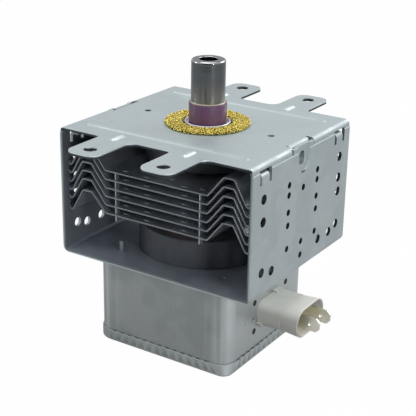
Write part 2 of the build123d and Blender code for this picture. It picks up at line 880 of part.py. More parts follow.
def cooling_fin(index):
    """Folded fin with a drawn collar round the anode and four spacers that stand on the next fin."""
    level = fin_height(index)
    lowest = index == fin_count - 1
    left = [(-x, z) for x, z in fin_wing(level, fin_droop if lowest else 0)]
    points = left + fin_wing(level, 0)[::-1]
    section = folded_section(points, fin_thickness, fin_bend_radius)
    fin = along_depth(section, -fin_depth / 2, fin_depth / 2)
    bore = anode_diameter / 2 + fin_fit
    collar_height = fin_pitch - fin_thickness - fin_collar_gap
    underside = level - fin_thickness / 2
    fin += Pos(0, 0, underside - collar_height / 2) * Cylinder(bore + fin_collar_wall, collar_height)
    fin -= Pos(0, 0, level - collar_height / 2) * Cylinder(bore, 2 * fin_pitch)
    foot = underside - (fin_spacer_foot if lowest else fin_pitch - fin_thickness)
    for x in (-fin_spacer_offset, fin_spacer_offset):
        for y in (-1, 1):
            outer = fin_depth / 2 - fin_spacer_setback
            low_y, high_y = sorted((y * outer, y * (outer - fin_spacer_length)))
            fin += block((x - fin_thickness / 2, low_y, foot), (x + fin_thickness / 2, high_y, underside))
    return fin


def box_shell():
    """Drawn cup of the filter box, closed at the top."""
    outline = RectangleRounded(box_width, box_depth, box_corner_radius)
    hollow = RectangleRounded(
        box_width - 2 * box_sheet, box_depth - 2 * box_sheet, box_corner_radius - box_sheet
    )
    outer = Pos(*box_offset, box_rim) * extrude(outline, box_height)
    outer = fillet(outer.edges().group_by(Axis.Z)[-1], box_top_radius)
    inner = Pos(*box_offset, box_rim) * extrude(hollow, box_height - box_sheet)
    inner = fillet(inner.edges().group_by(Axis.Z)[-1], box_top_radius - box_sheet)
    return outer - inner


def eyelet_places():
    """Centres of the four eyelets on the connector's face."""
    return [(y * eyelet_spacing_y / 2, z * eyelet_spacing_z / 2) for y in (-1, 1) for z in (-1, 1)]


def stadium(width, height):
    """Outline with straight long sides and round ends."""
    return SlotOverall(width, height)


def filter_box():
    """Filter box with its tabs through the yoke's floor and the connector's opening, eyelets and dimples."""
    shell = box_shell()
    shell -= Pos(0, 0, box_top) * Cylinder(neck_bore_diameter / 2, 2 * box_top_radius)
    tab = Pos(*box_tab_place, box_top - box_sheet) * extrude(
        Rectangle(box_tab_width, box_sheet), box_sheet + wall_thickness + box_tab_height
    )
    shell += [tab, half_turn * tab]
    opening = stadium(shroud_width + 2 * shroud_clearance, shroud_height + 2 * shroud_clearance)
    opening += Pos(-shroud_width / 2 - pin_hole_margin, pin_hole_rise) * Circle(pin_hole_diameter / 2)
    shell -= extrude(connector_face * opening, box_sheet, both=True)
    eyelet_length = box_sheet / 2 + ground_plate_thickness + eyelet_proud
    for y, z in eyelet_places():
        sleeve = Pos(y, z) * Circle(eyelet_hole_diameter / 2 + eyelet_wall)
        bore = Pos(y, z) * Circle(eyelet_hole_diameter / 2)
        shell += extrude(connector_face.offset(box_sheet / 2) * sleeve, -eyelet_length)
        shell -= extrude(connector_face.offset(box_sheet) * bore, -2 * eyelet_length)
    for rise in dimple_rises:
        dimple = Pos(-shroud_width / 2 - dimple_margin, rise) * Circle(dimple_diameter / 2)
        shell += extrude(connector_face.offset(box_sheet) * dimple, dimple_height, taper=press_draft)
    return shell


def pleat_row(straight):
    """Middles of the pleats along one straight side of the lid's skirt."""
    count = int(straight / pleat_pitch)
    return [(index - (count - 1) / 2) * pleat_pitch for index in range(count)]


def skirt_outline():
    """Outline of the lid's skirt, with its pleats standing out along the four straight sides."""
    grow = lid_fit + lid_sheet
    width = box_width + 2 * grow
    depth = box_depth + 2 * grow
    outline = RectangleRounded(width, depth, lid_corner_radius)
    pleat = Rectangle(pleat_width, 2 * pleat_height)
    for x in pleat_row(width - 2 * box_corner_radius):
        for y in (-depth / 2, depth / 2):
            outline += Pos(x, y) * pleat
    for y in pleat_row(depth - 2 * box_corner_radius):
        for x in (-width / 2, width / 2):
            outline += Pos(x, y) * Rot(0, 0, 90) * pleat
    return outline


def slit_outline():
    """Outlines of the eight slits that part the skirt's straight sides from its corners."""
    length = 2 * box_corner_radius
    width = box_width - length
    depth = box_depth - length
    outline = Sketch()
    for x in (-1, 1):
        for y in (-1, 1):
            outline += Pos(x * width / 2, y * box_depth / 2) * Rectangle(lid_slit_width, length)
            outline += Pos(x * box_width / 2, y * depth / 2) * Rectangle(length, lid_slit_width)
    return outline


def filter_lid():
    """Lid of the filter box: a flat floor and a pleated skirt that grips the box's rim."""
    skirt = extrude(skirt_outline(), lid_sheet + lid_skirt_height)
    inside = RectangleRounded(
        box_width + 2 * lid_fit, box_depth + 2 * lid_fit, lid_corner_radius - lid_sheet
    )
    hollow = Pos(0, 0, lid_sheet) * extrude(inside, lid_skirt_height)
    slits = Pos(0, 0, lid_sheet + lid_slit_foot) * extrude(slit_outline(), lid_skirt_height)
    return Pos(*box_offset, lid_underside) * (skirt - hollow - slits)


def connector_solid(outline, low, high):
    """Solid of an outline on the connector's face, between two distances from the box wall's inner face."""
    return extrude(connector_face.offset(low) * outline, high - low)


def flared_solid(outline, low, high):
    """Solid of an outline on the connector's face that widens outwards from one distance to another."""
    return extrude(connector_face.offset(low) * outline, high - low, taper=-shroud_flare)


def terminal_places():
    """Middles of the two terminals across the connector."""
    return (-terminal_spacing / 2, terminal_spacing / 2)


def shroud_outer_reach():
    """Distance of the connector's mouth from the box wall's inner face."""
    return shroud_reach + box_sheet


def shroud_inside():
    """Width and height of the space inside the connector's shroud."""
    return shroud_width - 2 * shroud_wall, shroud_height - 2 * shroud_wall


def connector_shroud():
    """Moulded shroud of the connector: a stadium tube with a step, a flared mouth and two snap lugs."""
    reach = shroud_outer_reach()
    outer_width = shroud_width - 2 * shroud_step
    outer_height = shroud_height - 2 * shroud_step
    shroud = connector_solid(stadium(shroud_width, shroud_height), 0, shroud_step_reach)
    shroud += flared_solid(stadium(outer_width, outer_height), shroud_step_reach, reach)
    lug_band = stadium(shroud_width + 2 * snap_lug_proud, shroud_height + 2 * snap_lug_proud)
    lug_band -= stadium(shroud_width - shroud_wall, shroud_height - shroud_wall)
    for side in (-1, 1):
        quarter = Pos(snap_lug_middle + side * snap_lug_offset, side * shroud_height / 2) * Rectangle(
            snap_lug_width, shroud_height / 2
        )
        shroud += connector_solid(lug_band & quarter, box_sheet + snap_lug_fit, box_sheet + snap_lug_reach)
    width, height = shroud_inside()
    shroud -= connector_solid(stadium(width, height), -box_sheet, shroud_step_reach)
    shroud -= flared_solid(stadium(width, height), shroud_step_reach, reach + box_sheet)
    mouth = shroud.edges().group_by(Axis.X)[-1]
    return fillet(mouth, shroud_mouth_radius)


def ground_plate():
    """Steel plate inside the box that carries the capacitor, held by the wall's four eyelets."""
    width = eyelet_spacing_y + 2 * ground_plate_margin
    height = eyelet_spacing_z + 2 * ground_plate_margin
    outline = RectangleRounded(width, height, ground_plate_corner_radius)
    for y, z in eyelet_places():
        outline -= Pos(y, z) * Circle(eyelet_hole_diameter / 2 + eyelet_wall + eyelet_fit)
    for y in terminal_places():
        outline -= Pos(y, 0) * Circle(ground_plate_port_diameter / 2)
    return connector_solid(outline, -ground_plate_thickness, 0)


def capacitor_element():
    """Ceramic block of the capacitor, with a port for each terminal."""
    width, height = shroud_inside()
    outline = stadium(width - 2 * element_fit, height - 2 * element_fit)
    for y in terminal_places():
        outline -= Pos(y, 0) * Circle(element_port_diameter / 2)
    return connector_solid(outline, 0, element_length)


def capacitor_potting():
    """Resin that fills the shroud over the capacitor and holds the terminals."""
    width, height = shroud_inside()
    outline = stadium(width, height)
    for y in terminal_places():
        outline -= Pos(y, 0) * Circle(terminal_rod_diameter / 2)
    return connector_solid(outline, element_length, element_length + potting_depth)


def capacitor_inner_case():
    """Moulded tube on the ground plate's inner face, round the terminals' inner ends."""
    outline = stadium(inner_case_width, inner_case_height)
    outline -= stadium(inner_case_width - 2 * inner_case_wall, inner_case_height - 2 * inner_case_wall)
    low = -ground_plate_thickness - inner_case_length
    return connector_solid(outline, low, -ground_plate_thickness)


def terminal_inner_end():
    """Distance of a terminal rod's inner end from the box wall's inner face, negative inside the box."""
    return -ground_plate_thickness - inner_case_length - terminal_rod_overhang


def capacitor_terminal(y):
    """Terminal: a rod through the capacitor that carries a flat tab with chamfered corners and a hole."""
    root = element_length + potting_depth
    tip = shroud_outer_reach() + tab_reach
    pin = connector_solid(
        Pos(y, 0) * Circle(terminal_rod_diameter / 2), terminal_inner_end(), root + tab_root_depth
    )
    length = tip - root
    outline = Rectangle(length, tab_width)
    ends = [(length / 2, side * tab_width / 2) for side in (-1, 1)]
    outline = chamfer(corners_at(outline, ends), tab_chamfer)
    outline -= Pos(length / 2 - tab_hole_inset, 0) * Circle(tab_hole_diameter / 2)
    middle = (box_face_inner + (root + tip) / 2, connector_offset + y, connector_height)
    tab_face = Plane(origin=middle, x_dir=(1, 0, 0), z_dir=(0, -1, 0))
    return pin + extrude(tab_face * outline, tab_thickness / 2, both=True)


def stem_ceramic():
    """Ceramic of the cathode stem, bored for the two leads."""
    outline = Circle(window_diameter / 2)
    for x in (0, side_lead_offset):
        outline -= Pos(x, 0) * Circle(lead_diameter / 2 + stem_lead_fit)
    return Pos(0, 0, stem_end) * extrude(outline, stem_length)


def flat_rectangle(left, right, near, far):
    """Flat rectangle between two X and two Y values."""
    return Pos((left + right) / 2, (near + far) / 2) * Rectangle(right - left, far - near)


def stem_tag(outline, lead_x, side):
    """Metal tag under the stem, bored for its lead, with a lug that hangs down for the choke's wire."""
    plate = outline - Pos(lead_x, 0) * Circle(lead_diameter / 2 + braze_gap)
    tag = Pos(0, 0, stem_tag_face) * extrude(plate, stem_tag_thickness)
    inner = side * stem_tag_gap / 2
    low_y, high_y = sorted((inner, inner + side * stem_tag_width))
    return tag + block(
        (stem_tag_offset - stem_tag_thickness, low_y, stem_tag_face - stem_tag_drop),
        (stem_tag_offset, high_y, stem_tag_face),
    )


def first_stem_tag():
    """Tag of the centre lead, on the back half of the stem."""
    right = (side_lead_offset - stem_tag_gap / 2) / 2
    left = stem_tag_offset - stem_tag_thickness
    back_low = stem_tag_gap / 2
    back = flat_rectangle(left, right, back_low, back_low + stem_tag_width)
    return stem_tag(back + flat_rectangle(-right, right, -right, right), 0, 1)


def second_stem_tag():
    """Tag of the side lead, on the front half of the stem."""
    near = (side_lead_offset + stem_tag_gap / 2) / 2
    far = side_lead_offset + lead_diameter
    left = stem_tag_offset - stem_tag_thickness
    front_low = -stem_tag_gap / 2 - stem_tag_width
    front_high = -stem_tag_gap - stem_tag_width / 4
    front = flat_rectangle(left, far, front_low, front_high)
    return stem_tag(front + flat_rectangle(near, far, front_low, lead_diameter), side_lead_offset, -1)


def bent_wire(points, wire, bend_radius):
    """Round wire along straight runs with rounded bends, and the ball of solder at its first point."""
    path = Wire(rounded_edges(points, [bend_radius] * len(points)))
    start = Plane(origin=points[0], z_dir=Vector(*points[1]) - Vector(*points[0]))
    return [sweep(start * Circle(wire / 2), path), Pos(*points[0]) * Sphere(wire / 2 + touching)]


def choke_radius():
    """Radius of the choke winding's middle line."""
    return choke_core_diameter / 2 + choke_core_gap + choke_wire / 2


def choke_start():
    """Place of the winding's end beside the connector: distance along X and the height of its axis."""
    start = box_face_inner + terminal_inner_end() - choke_start_gap
    return start, connector_height - choke_radius()


def choke_length():
    """Length of the choke winding along its axis: its full turns and a last half turn."""
    return (choke_full_turns + 1 / 2) * choke_pitch


def supply_tail(terminal_y):
    """Corner points of the wire from the winding's upper end to a terminal's inner end."""
    start, axis_height = choke_start()
    upper = axis_height + choke_radius()
    end = box_face_inner + terminal_inner_end()
    return [(start, choke_offset, upper), (start, terminal_y, upper), (end, terminal_y, upper)]


def stem_tail():
    """Corner points of the wire from the winding's lower end to the lug of the stem's back tag."""
    start, axis_height = choke_start()
    finish = start - choke_length()
    lower = axis_height - choke_radius()
    lug_x = stem_tag_offset + choke_wire / 2
    lug_y = (stem_tag_gap + stem_tag_width) / 2
    return [
        (finish, choke_offset, lower),
        (finish, lug_y, lower),
        (lug_x, lug_y, stem_tag_face - stem_tag_drop - choke_wire),
        (lug_x, lug_y, stem_tag_face - stem_tag_thickness),
    ]


def choke_coil(side, terminal_y):
    """Choke winding behind (+1) or before (-1) the stem, with tails to its terminal and its stem tag."""
    start, axis_height = choke_start()
    axis = Plane(origin=(start, choke_offset, axis_height), x_dir=(0, 0, 1), z_dir=(-1, 0, 0))
    winding = coiled_wire(choke_wire, 2 * choke_radius(), choke_pitch, choke_length())
    coil = axis.location * winding
    for tail in (supply_tail(side * terminal_y), stem_tail()):
        coil += bent_wire(tail, choke_wire, choke_bend_radius)
    return coil if side > 0 else mirrored_in_depth(coil)


def choke_core(side):
    """Ferrite rod inside a choke winding."""
    start, axis_height = choke_start()
    middle = start - choke_length() / 2
    half = choke_core_length / 2
    y = side * choke_offset
    return rod((middle - half, y, axis_height), (middle + half, y, axis_height), choke_core_diameter / 2)


def write(parts):
    """Write each part to its own file."""
    os.makedirs("parts", exist_ok=True)
    for name, solid in parts.items():
        export_step(solid, f"parts/{name}.step")


def main():
    """Build every part of the magnetron."""
    parts = {
        "upper_yoke": upper_yoke(),
        "yoke_frame": yoke_frame(),
        "upper_magnet": magnet(upper_magnet_diameter, upper_magnet_underside),
        "lower_magnet": magnet(lower_magnet_diameter, floor_top),
        "rf_gasket": rf_gasket(),
        "antenna_cap": antenna_cap(),
        "antenna_ceramic": antenna_window(),
        "exhaust_tube": exhaust_tube(),
        "antenna_lead": antenna_lead(),
        "upper_seal_cup": seal_cup(anode_top, antenna_lift),
        "lower_seal_cup": seal_cup(anode_bottom, lower_neck_end),
        "harmonic_ring": harmonic_ring(),
        "upper_pole_piece": upper_pole_piece(),
        "lower_pole_piece": pole_piece(anode_bottom, anode_middle - vane_height / 2 - pole_gap),
        "anode_cylinder": ring(anode_diameter / 2, anode_bore_diameter / 2, anode_bottom, anode_top),
        "cathode_filament": filament(),
        "upper_end_hat": upper_end_hat(),
        "lower_end_hat": lower_end_hat(),
        "centre_lead": centre_lead(),
        "side_lead": side_lead(),
        "stem_ceramic": stem_ceramic(),
        "stem_tag_1": first_stem_tag(),
        "stem_tag_2": second_stem_tag(),
        "filter_box": filter_box(),
        "filter_lid": filter_lid(),
        "connector_shroud": connector_shroud(),
        "capacitor_ground_plate": ground_plate(),
        "capacitor_element": capacitor_element(),
        "capacitor_potting": capacitor_potting(),
        "capacitor_inner_case": capacitor_inner_case(),
    }
    for index in range(vane_count):
        parts[f"anode_vane_{index + 1:02d}"] = anode_vane(index)
    for place, side in (("upper", 1), ("lower", -1)):
        parts[f"inner_strap_{place}"] = strap_ring(inner_strap_diameter, side)
        parts[f"outer_strap_{place}"] = strap_ring(outer_strap_diameter, side)
    for index in range(fin_count):
        parts[f"cooling_fin_{index + 1}"] = cooling_fin(index)
    for index, y in enumerate(terminal_places()):
        parts[f"supply_terminal_{index + 1}"] = capacitor_terminal(y)
        side = (-1, 1)[index]
        parts[f"choke_coil_{index + 1}"] = choke_coil(side, connector_offset + y)
        parts[f"choke_core_{index + 1}"] = choke_core(side)
    write(parts)


if __name__ == "__main__":
    main()
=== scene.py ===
"""Looks of an oven magnetron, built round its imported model: knitted gasket, capped antenna, pleated lid,
rounded sheet edges, and a procedural finish on every piece.

Lengths are in millimetres unless a docstring says metres. The origin is on the antenna's axis, at the height
of the yoke's upper face.
"""

from __future__ import annotations

import json
import logging
import math
from abc import ABC, abstractmethod
from dataclasses import dataclass, field, replace
from enum import Enum

import bmesh
import bpy
import numpy as np
from mathutils import Matrix, Vector
from mathutils.bvhtree import BVHTree


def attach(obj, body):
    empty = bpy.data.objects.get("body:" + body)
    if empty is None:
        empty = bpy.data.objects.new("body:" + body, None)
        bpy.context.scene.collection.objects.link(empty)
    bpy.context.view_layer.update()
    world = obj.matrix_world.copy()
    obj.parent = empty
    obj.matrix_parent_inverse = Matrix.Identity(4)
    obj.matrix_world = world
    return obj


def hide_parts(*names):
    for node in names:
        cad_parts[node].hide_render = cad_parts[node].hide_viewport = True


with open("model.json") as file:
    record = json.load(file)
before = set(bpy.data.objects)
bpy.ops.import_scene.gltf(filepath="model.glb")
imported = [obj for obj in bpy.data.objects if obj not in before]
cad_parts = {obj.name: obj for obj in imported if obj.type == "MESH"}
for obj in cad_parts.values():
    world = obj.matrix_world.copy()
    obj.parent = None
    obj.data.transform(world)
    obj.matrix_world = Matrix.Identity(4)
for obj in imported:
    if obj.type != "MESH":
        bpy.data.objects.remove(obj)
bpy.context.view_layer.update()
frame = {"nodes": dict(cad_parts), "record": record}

LOG = logging.getLogger("magnetron")
MM = 0.001
FULL_TURN = 2 * math.pi
MERGE_DISTANCE = 0.0005 * MM
FLAT_ANGLE = math.radians(0.4)
SHARP_ANGLE = math.radians(32)
BEVEL_SEGMENTS = 2
FIN_COUNT = 6
# Name of the mesh value that holds the lid's painted shade
VALLEY_SHADE_MARK = "valley_painted_shade"

# Radius of a corner that stays sharp, middles of the box and of the yoke, decimals to which a length along an
# outline is rounded, and length added before a division
SHARP = 0.001
BOX_MIDDLE = (-1.0, -0.5)
YOKE_MIDDLE = (0.0, 0.0, -29.0)
LENGTH_DIGITS = 5
TINY = 1e-9

# Numbers of the Mix node's colour sockets, which come after its sockets for numbers and vectors
MIX_FIRST, MIX_SECOND, MIX_RESULT = 6, 7, 2

Band = tuple[float, float]
Triple = tuple[float, float, float]
Socket = bpy.types.NodeSocket
Value = Socket | float | tuple


def grid_quads(rows: int, columns: int, closed: bool = True, copies: int = 1) -> np.ndarray:
    """Quads of grids of closed rows, whose point (i, j) has the number i * columns + j.

    Args:
        rows: Number of rows.
        columns: Points in a row.
        closed: Whether the last row joins the first.
        copies: Number of grids, whose points follow each other.

    Returns:
        Array of four point numbers a quad.
    """
    i = np.arange(rows if closed else rows - 1)[:, None]
    j = np.arange(columns)[None, :]
    below, beside = (i + 1) % rows, (j + 1) % columns
    corners = [i * columns + j, i * columns + beside, below * columns + beside, below * columns + j]
    grid = np.stack([np.broadcast_to(c, (i.size, j.size)) for c in corners], axis=-1)
    starts = np.arange(copies)[:, None, None, None] * rows * columns
    return (grid + starts).reshape(-1, 4)


def outward(points: np.ndarray, quads: np.ndarray) -> np.ndarray:
    """Quads, reversed where the closed surface's volume, the sum of a . (b x c) / 6, is negative."""
    a, b, c, d = (points[quads[:, k]] for k in range(4))
    volume = np.sum(a * np.cross(b, c)) + np.sum(a * np.cross(c, d))
    return quads if volume > 0 else quads[:, ::-1]


def cleaned(mesh: bpy.types.Mesh, join_flats: bool = False) -> None:
    """Merges a mesh's doubles, joins its flat faces where asked, and makes its faces smooth."""
    work = bmesh.new()
    work.from_mesh(mesh)
    bmesh.ops.remove_doubles(work, verts=work.verts, dist=MERGE_DISTANCE)
    if join_flats:
        bmesh.ops.dissolve_limit(work, angle_limit=FLAT_ANGLE, verts=work.verts, edges=work.edges)
    work.to_mesh(mesh)
    work.free()
    mesh.shade_smooth()


def linked(name: str, data: bpy.types.ID) -> bpy.types.Object:
    """Object with this name and data, linked to the scene."""
    made = bpy.data.objects.new(name, data)
    bpy.context.scene.collection.objects.link(made)
    return made


def mesh_piece(
    name: str, points: np.ndarray, quads: np.ndarray, values: dict[str, np.ndarray] | None = None
) -> bpy.types.Object:
    """Object at the origin whose mesh has these points, with its doubles merged and smooth faces.

    Args:
        name: Name of the piece.
        points: Points in millimetres.
        quads: Four point numbers a face.
        values: Named values at the points, for the finish.

    Returns:
        The linked object.
    """
    points = points.reshape(-1, 3)
    mesh = bpy.data.meshes.new(name)
    mesh.from_pydata((points * MM).tolist(), [], outward(points, quads).tolist())
    for key, numbers in (values or {}).items():
        data = mesh.attributes.new(key, "FLOAT", "POINT").data
        data.foreach_set("value", numbers.astype(np.float32))
    cleaned(mesh)
    return linked(name, mesh)


def ramp(value: np.ndarray, start: float, span: float) -> np.ndarray:
    """Share that rises evenly from 0 at the start to 1 after the span."""
    return np.clip((value - start) / span, 0, 1)


def eased(value: np.ndarray, start: float, span: float) -> np.ndarray:
    """Share t of a ramp turned to 3 t^2 - 2 t^3, which starts and ends level."""
    share = ramp(value, start, span)
    return share**2 * (3 - 2 * share)


def lengths(line: np.ndarray) -> np.ndarray:
    """Length along a line up to each of its points."""
    return np.concatenate([[0], np.cumsum(np.linalg.norm(np.diff(line, axis=0), axis=1))])


def rounded(corners: list[Triple], steps: int = 6) -> np.ndarray:
    """Closed outline whose corners are arcs: each arc starts and ends radius / tan(half the corner's
    angle) from the corner, and its points turn evenly about a centre on the corner's bisector.

    Args:
        corners: Corners in order, each with two coordinates and its radius.
        steps: Spans in each arc.

    Returns:
        Points of the outline, without a repeat of the first.
    """
    points, radii = np.array(corners)[:, :2], np.array(corners)[:, 2]
    before, after = np.roll(points, 1, axis=0) - points, np.roll(points, -1, axis=0) - points
    before /= np.linalg.norm(before, axis=1, keepdims=True)
    after /= np.linalg.norm(after, axis=1, keepdims=True)
    half = np.arccos(np.clip(np.sum(before * after, axis=1), -1, 1)) / 2
    reach = (radii / np.tan(half))[:, None]
    middle = before + after
    middle /= np.linalg.norm(middle, axis=1, keepdims=True)
    centre = points + middle * (radii / np.sin(half))[:, None]
    start, end = points + before * reach - centre, points + after * reach - centre
    turn = (math.pi - 2 * half)[:, None, None]
    part = np.linspace(0, 1, steps + 1)[None, :, None]
    arc = np.sin((1 - part) * turn) * start[:, None] + np.sin(part * turn) * end[:, None]
    return (centre[:, None] + arc / np.sin(turn)).reshape(-1, 2)


def dense(outline: np.ndarray, spacing: float) -> np.ndarray:
    """Closed outline with points added evenly by length, so that none is further apart than spacing.

    Args:
        outline: Points of the outline.
        spacing: Largest distance between two points.

    Returns:
        Points of the outline, without a repeat of the first.
    """
    closed = np.vstack([outline, outline[:1]])
    length = lengths(closed)
    extra = np.arange(0, length[-1], spacing)
    where = np.unique(np.round(np.concatenate([length[:-1], extra]), LENGTH_DIGITS))
    return np.stack([np.interp(where, length, closed[:, k]) for k in range(2)], axis=1)


def capped(line: np.ndarray, pole: float, clear: float) -> np.ndarray:
    """Open line from pole to pole: the line's own ends there are cut off and the pole is put in.

    Args:
        line: Closed outline whose first and last corners lie at the pole.
        pole: First coordinate of the pole.
        clear: Distance from the pole within which the line's own points are cut off.

    Returns:
        Points from the pole at the first corner's height to the pole at the last corner's.
    """
    kept = line[np.abs(line[:, 0] - pole) > clear]
    return np.vstack([[pole, kept[0, 1]], kept, [pole, kept[-1, 1]]])


def turned(name: str, outline: np.ndarray, columns: int = 128, closed: bool = True) -> bpy.types.Object:
    """Piece turned about the Z axis: point (r, z) of the outline goes to (r cos a, r sin a, z).

    Args:
        name: Name of the piece.
        outline: Outline of radius and height, in millimetres.
        columns: Spans round the axis.
        closed: Whether the outline's last point joins its first.

    Returns:
        The turned piece.
    """
    angle = np.arange(columns) * FULL_TURN / columns
    radius, height = outline[:, 0:1], outline[:, 1:2]
    points = np.stack([radius * np.cos(angle), radius * np.sin(angle), height + 0 * angle], axis=-1)
    return mesh_piece(name, points, grid_quads(len(outline), columns, closed))


def softened_copy(name: str, node: str, radius: float) -> bpy.types.Object:
    """Copy of a node with its doubles merged, its flat faces joined and its sharp edges rounded.

    Args:
        name: Name of the copy.
        node: Node that is copied.
        radius: Width of the rounding, in millimetres.

    Returns:
        The copy, which replaces the node.
    """
    mesh = frame["nodes"][node].data.copy()
    mesh.name = name
    if "custom_normal" in mesh.attributes:
        mesh.attributes.remove(mesh.attributes["custom_normal"])
    cleaned(mesh, join_flats=True)
    mesh.materials.clear()
    piece = linked(name, mesh)
    bevel = piece.modifiers.new("edge_rounding", "BEVEL")
    bevel.width, bevel.segments = radius * MM, BEVEL_SEGMENTS
    bevel.limit_method, bevel.angle_limit = "ANGLE", SHARP_ANGLE
    bevel.miter_outer = "MITER_ARC"
    bevel.use_clamp_overlap = bevel.harden_normals = True
    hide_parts(node)
    return piece


class Grain(Enum):
    """Way in which a pattern runs, as its scale along X, Y and Z."""

    NONE = (1.0, 1.0, 1.0)
    ALONG_X = (0.04, 1.0, 1.0)
    ALONG_Y = (1.0, 0.04, 1.0)
    ALONG_Z = (1.0, 1.0, 0.03)
    LEVEL = (1.0, 1.0, 2.0)


class Measure(Enum):
    """Quantity that wear goes by: part of the place or of the surface's direction, signed or not."""

    X = ("place", 0, False)
    OFF_X = ("place", 0, True)
    OFF_Y = ("place", 1, True)
    Z = ("place", 2, False)
    LEAN_X = ("direction", 0, True)
    LEAN_Y = ("direction", 1, True)
    LEAN_Z = ("direction", 2, True)
    UP = ("direction", 2, False)
    INWARD = ("distance towards the yoke's middle along the direction", 0, False)
    CORNER = ("smaller distance from the box's two middle planes", 0, False)


class Nodes:
    """Node tree of a material or world, emptied and filled again."""

    def __init__(self, owner: bpy.types.Material | bpy.types.World) -> None:
        """Empties the owner's tree."""
        owner.use_nodes = True
        self.tree = owner.node_tree
        self.tree.nodes.clear()

    def add(self, kind: str, inputs: dict | None = None, **settings: object) -> bpy.types.Node:
        """Adds a node.

        Args:
            kind: Blender's name of the node.
            inputs: Sockets by name or number, each with a value or with the socket that feeds it.
            settings: Properties of the node.

        Returns:
            The node.
        """
        node = self.tree.nodes.new(kind)
        for key, value in settings.items():
            setattr(node, key, value)
        for key, value in (inputs or {}).items():
            self.feed(node.inputs[key], value)
        return node

    def feed(self, socket: Socket, value: Value) -> None:
        """Links a socket, or sets its own value."""
        if isinstance(value, Socket):
            self.tree.links.new(value, socket)
        elif isinstance(value, tuple) and len(value) == 3 and socket.type == "RGBA":
            socket.default_value = (*value, 1)
        else:
            socket.default_value = value

    def maths(self, operation: str, *values: Value) -> Socket:
        """Result of one arithmetic operation."""
        return self.add("ShaderNodeMath", dict(enumerate(values)), operation=operation).outputs[0]

    def gathered(self, operation: str, first: Value, *others: Value) -> Socket:
        """Result of one arithmetic operation carried on over all the values."""
        for value in others:
            first = self.maths(operation, first, value)
        return first


class Graph(Nodes):
    """Node graph of one finish: a Principled shader, and the pattern nodes that feed it."""

    def __init__(self, name: str) -> None:
        """Makes the material with its shader and the Object coordinates."""
        self.material = bpy.data.materials.new(name)
        super().__init__(self.material)
        self.shader = self.add("ShaderNodeBsdfPrincipled")
        self.add("ShaderNodeOutputMaterial", {0: self.shader.outputs[0]})
        self.place = self.add("ShaderNodeTexCoord").outputs["Object"]

    def surface(self, inputs: dict) -> None:
        """Sets or links sockets of the shader."""
        for key, value in inputs.items():
            self.feed(self.shader.inputs[key], value)

    def between(self, value: Value, band: Band, ends: Band = (0.0, 1.0)) -> Socket:
        """Value carried from one range to another, smoothly and clamped.

        Args:
            value: The value.
            band: Values at which the result starts and stops to change.
            ends: Results there.

        Returns:
            The result.
        """
        inputs = dict(enumerate((value, *band, *ends)))
        return self.add("ShaderNodeMapRange", inputs, interpolation_type="SMOOTHSTEP").outputs[0]

    def vector_maths(self, operation: str, first: Value, second: Value) -> bpy.types.Node:
        """Node of one operation on two vectors."""
        return self.add("ShaderNodeVectorMath", {0: first, 1: second}, operation=operation)

    def axis(self, vector: Socket, number: int) -> Socket:
        """Part of a vector along X, Y or Z."""
        return self.add("ShaderNodeSeparateXYZ", {0: vector}).outputs[number]

    def away(self, length: Value, place: float) -> Socket:
        """Distance of a length in metres from a place in millimetres."""
        return self.maths("ABSOLUTE", self.maths("SUBTRACT", length, place * MM))

    def direction(self) -> Socket:
        """Direction of the surface."""
        return self.add("ShaderNodeNewGeometry").outputs["Normal"]

    def measured(self, what: Measure) -> Socket:
        """Measure at the point at hand, lengths in metres."""
        if what is Measure.CORNER:
            off = (self.away(self.axis(self.place, k), BOX_MIDDLE[k]) for k in range(2))
            return self.maths("MINIMUM", *off)
        if what is Measure.INWARD:
            towards = self.vector_maths("SUBTRACT", tuple(k * MM for k in YOKE_MIDDLE), self.place)
            return self.vector_maths("DOT_PRODUCT", towards.outputs[0], self.direction()).outputs["Value"]
        source, number, unsigned = what.value
        value = self.axis(self.place if source == "place" else self.direction(), number)
        return self.maths("ABSOLUTE", value) if unsigned else value

    def mixed(self, share: Value, first: Value, second: Value) -> Socket:
        """Colour that turns from the first to the second as the share goes from 0 to 1."""
        inputs = {0: share, MIX_FIRST: first, MIX_SECOND: second}
        return self.add("ShaderNodeMix", inputs, data_type="RGBA").outputs[MIX_RESULT]

    def bumped(self, height: Value, depth: float) -> None:
        """Bumps the shader's normal by a height from 0 to 1, over a depth in millimetres."""
        bump = self.add("ShaderNodeBump", {"Height": height, "Distance": depth * MM, "Strength": 1})
        self.tree.links.new(bump.outputs[0], self.shader.inputs["Normal"])


@dataclass(frozen=True)
class Cloud:
    """Noise pattern, and the range of it that turns from the least share to the most.

    Attributes:
        per_metre: Waves in a metre.
        detail: Octaves.
        low: Noise that gives the least share.
        high: Noise that gives the most share.
        least: Least share.
        most: Most share.
        warp: Distortion.
        grain: Way in which the pattern runs.
    """

    per_metre: float
    detail: float
    low: float = 0.0
    high: float = 1.0
    least: float = 0.0
    most: float = 1.0
    warp: float = 0.0
    grain: Grain = Grain.NONE

    def noise(self, graph: Graph) -> Socket:
        """Noise from 0 to 1, over Object coordinates stretched along the grain."""
        scale = {"Vector": graph.place, "Scale": self.grain.value}
        inputs = {
            "Vector": graph.add("ShaderNodeMapping", scale, vector_type="POINT").outputs[0],
            "Scale": self.per_metre,
            "Detail": self.detail,
            "Distortion": self.warp,
        }
        return graph.add("ShaderNodeTexNoise", inputs).outputs["Fac"]

    def share(self, graph: Graph) -> Socket:
        """Noise carried to the shares."""
        return graph.between(self.noise(graph), (self.low, self.high), (self.least, self.most))


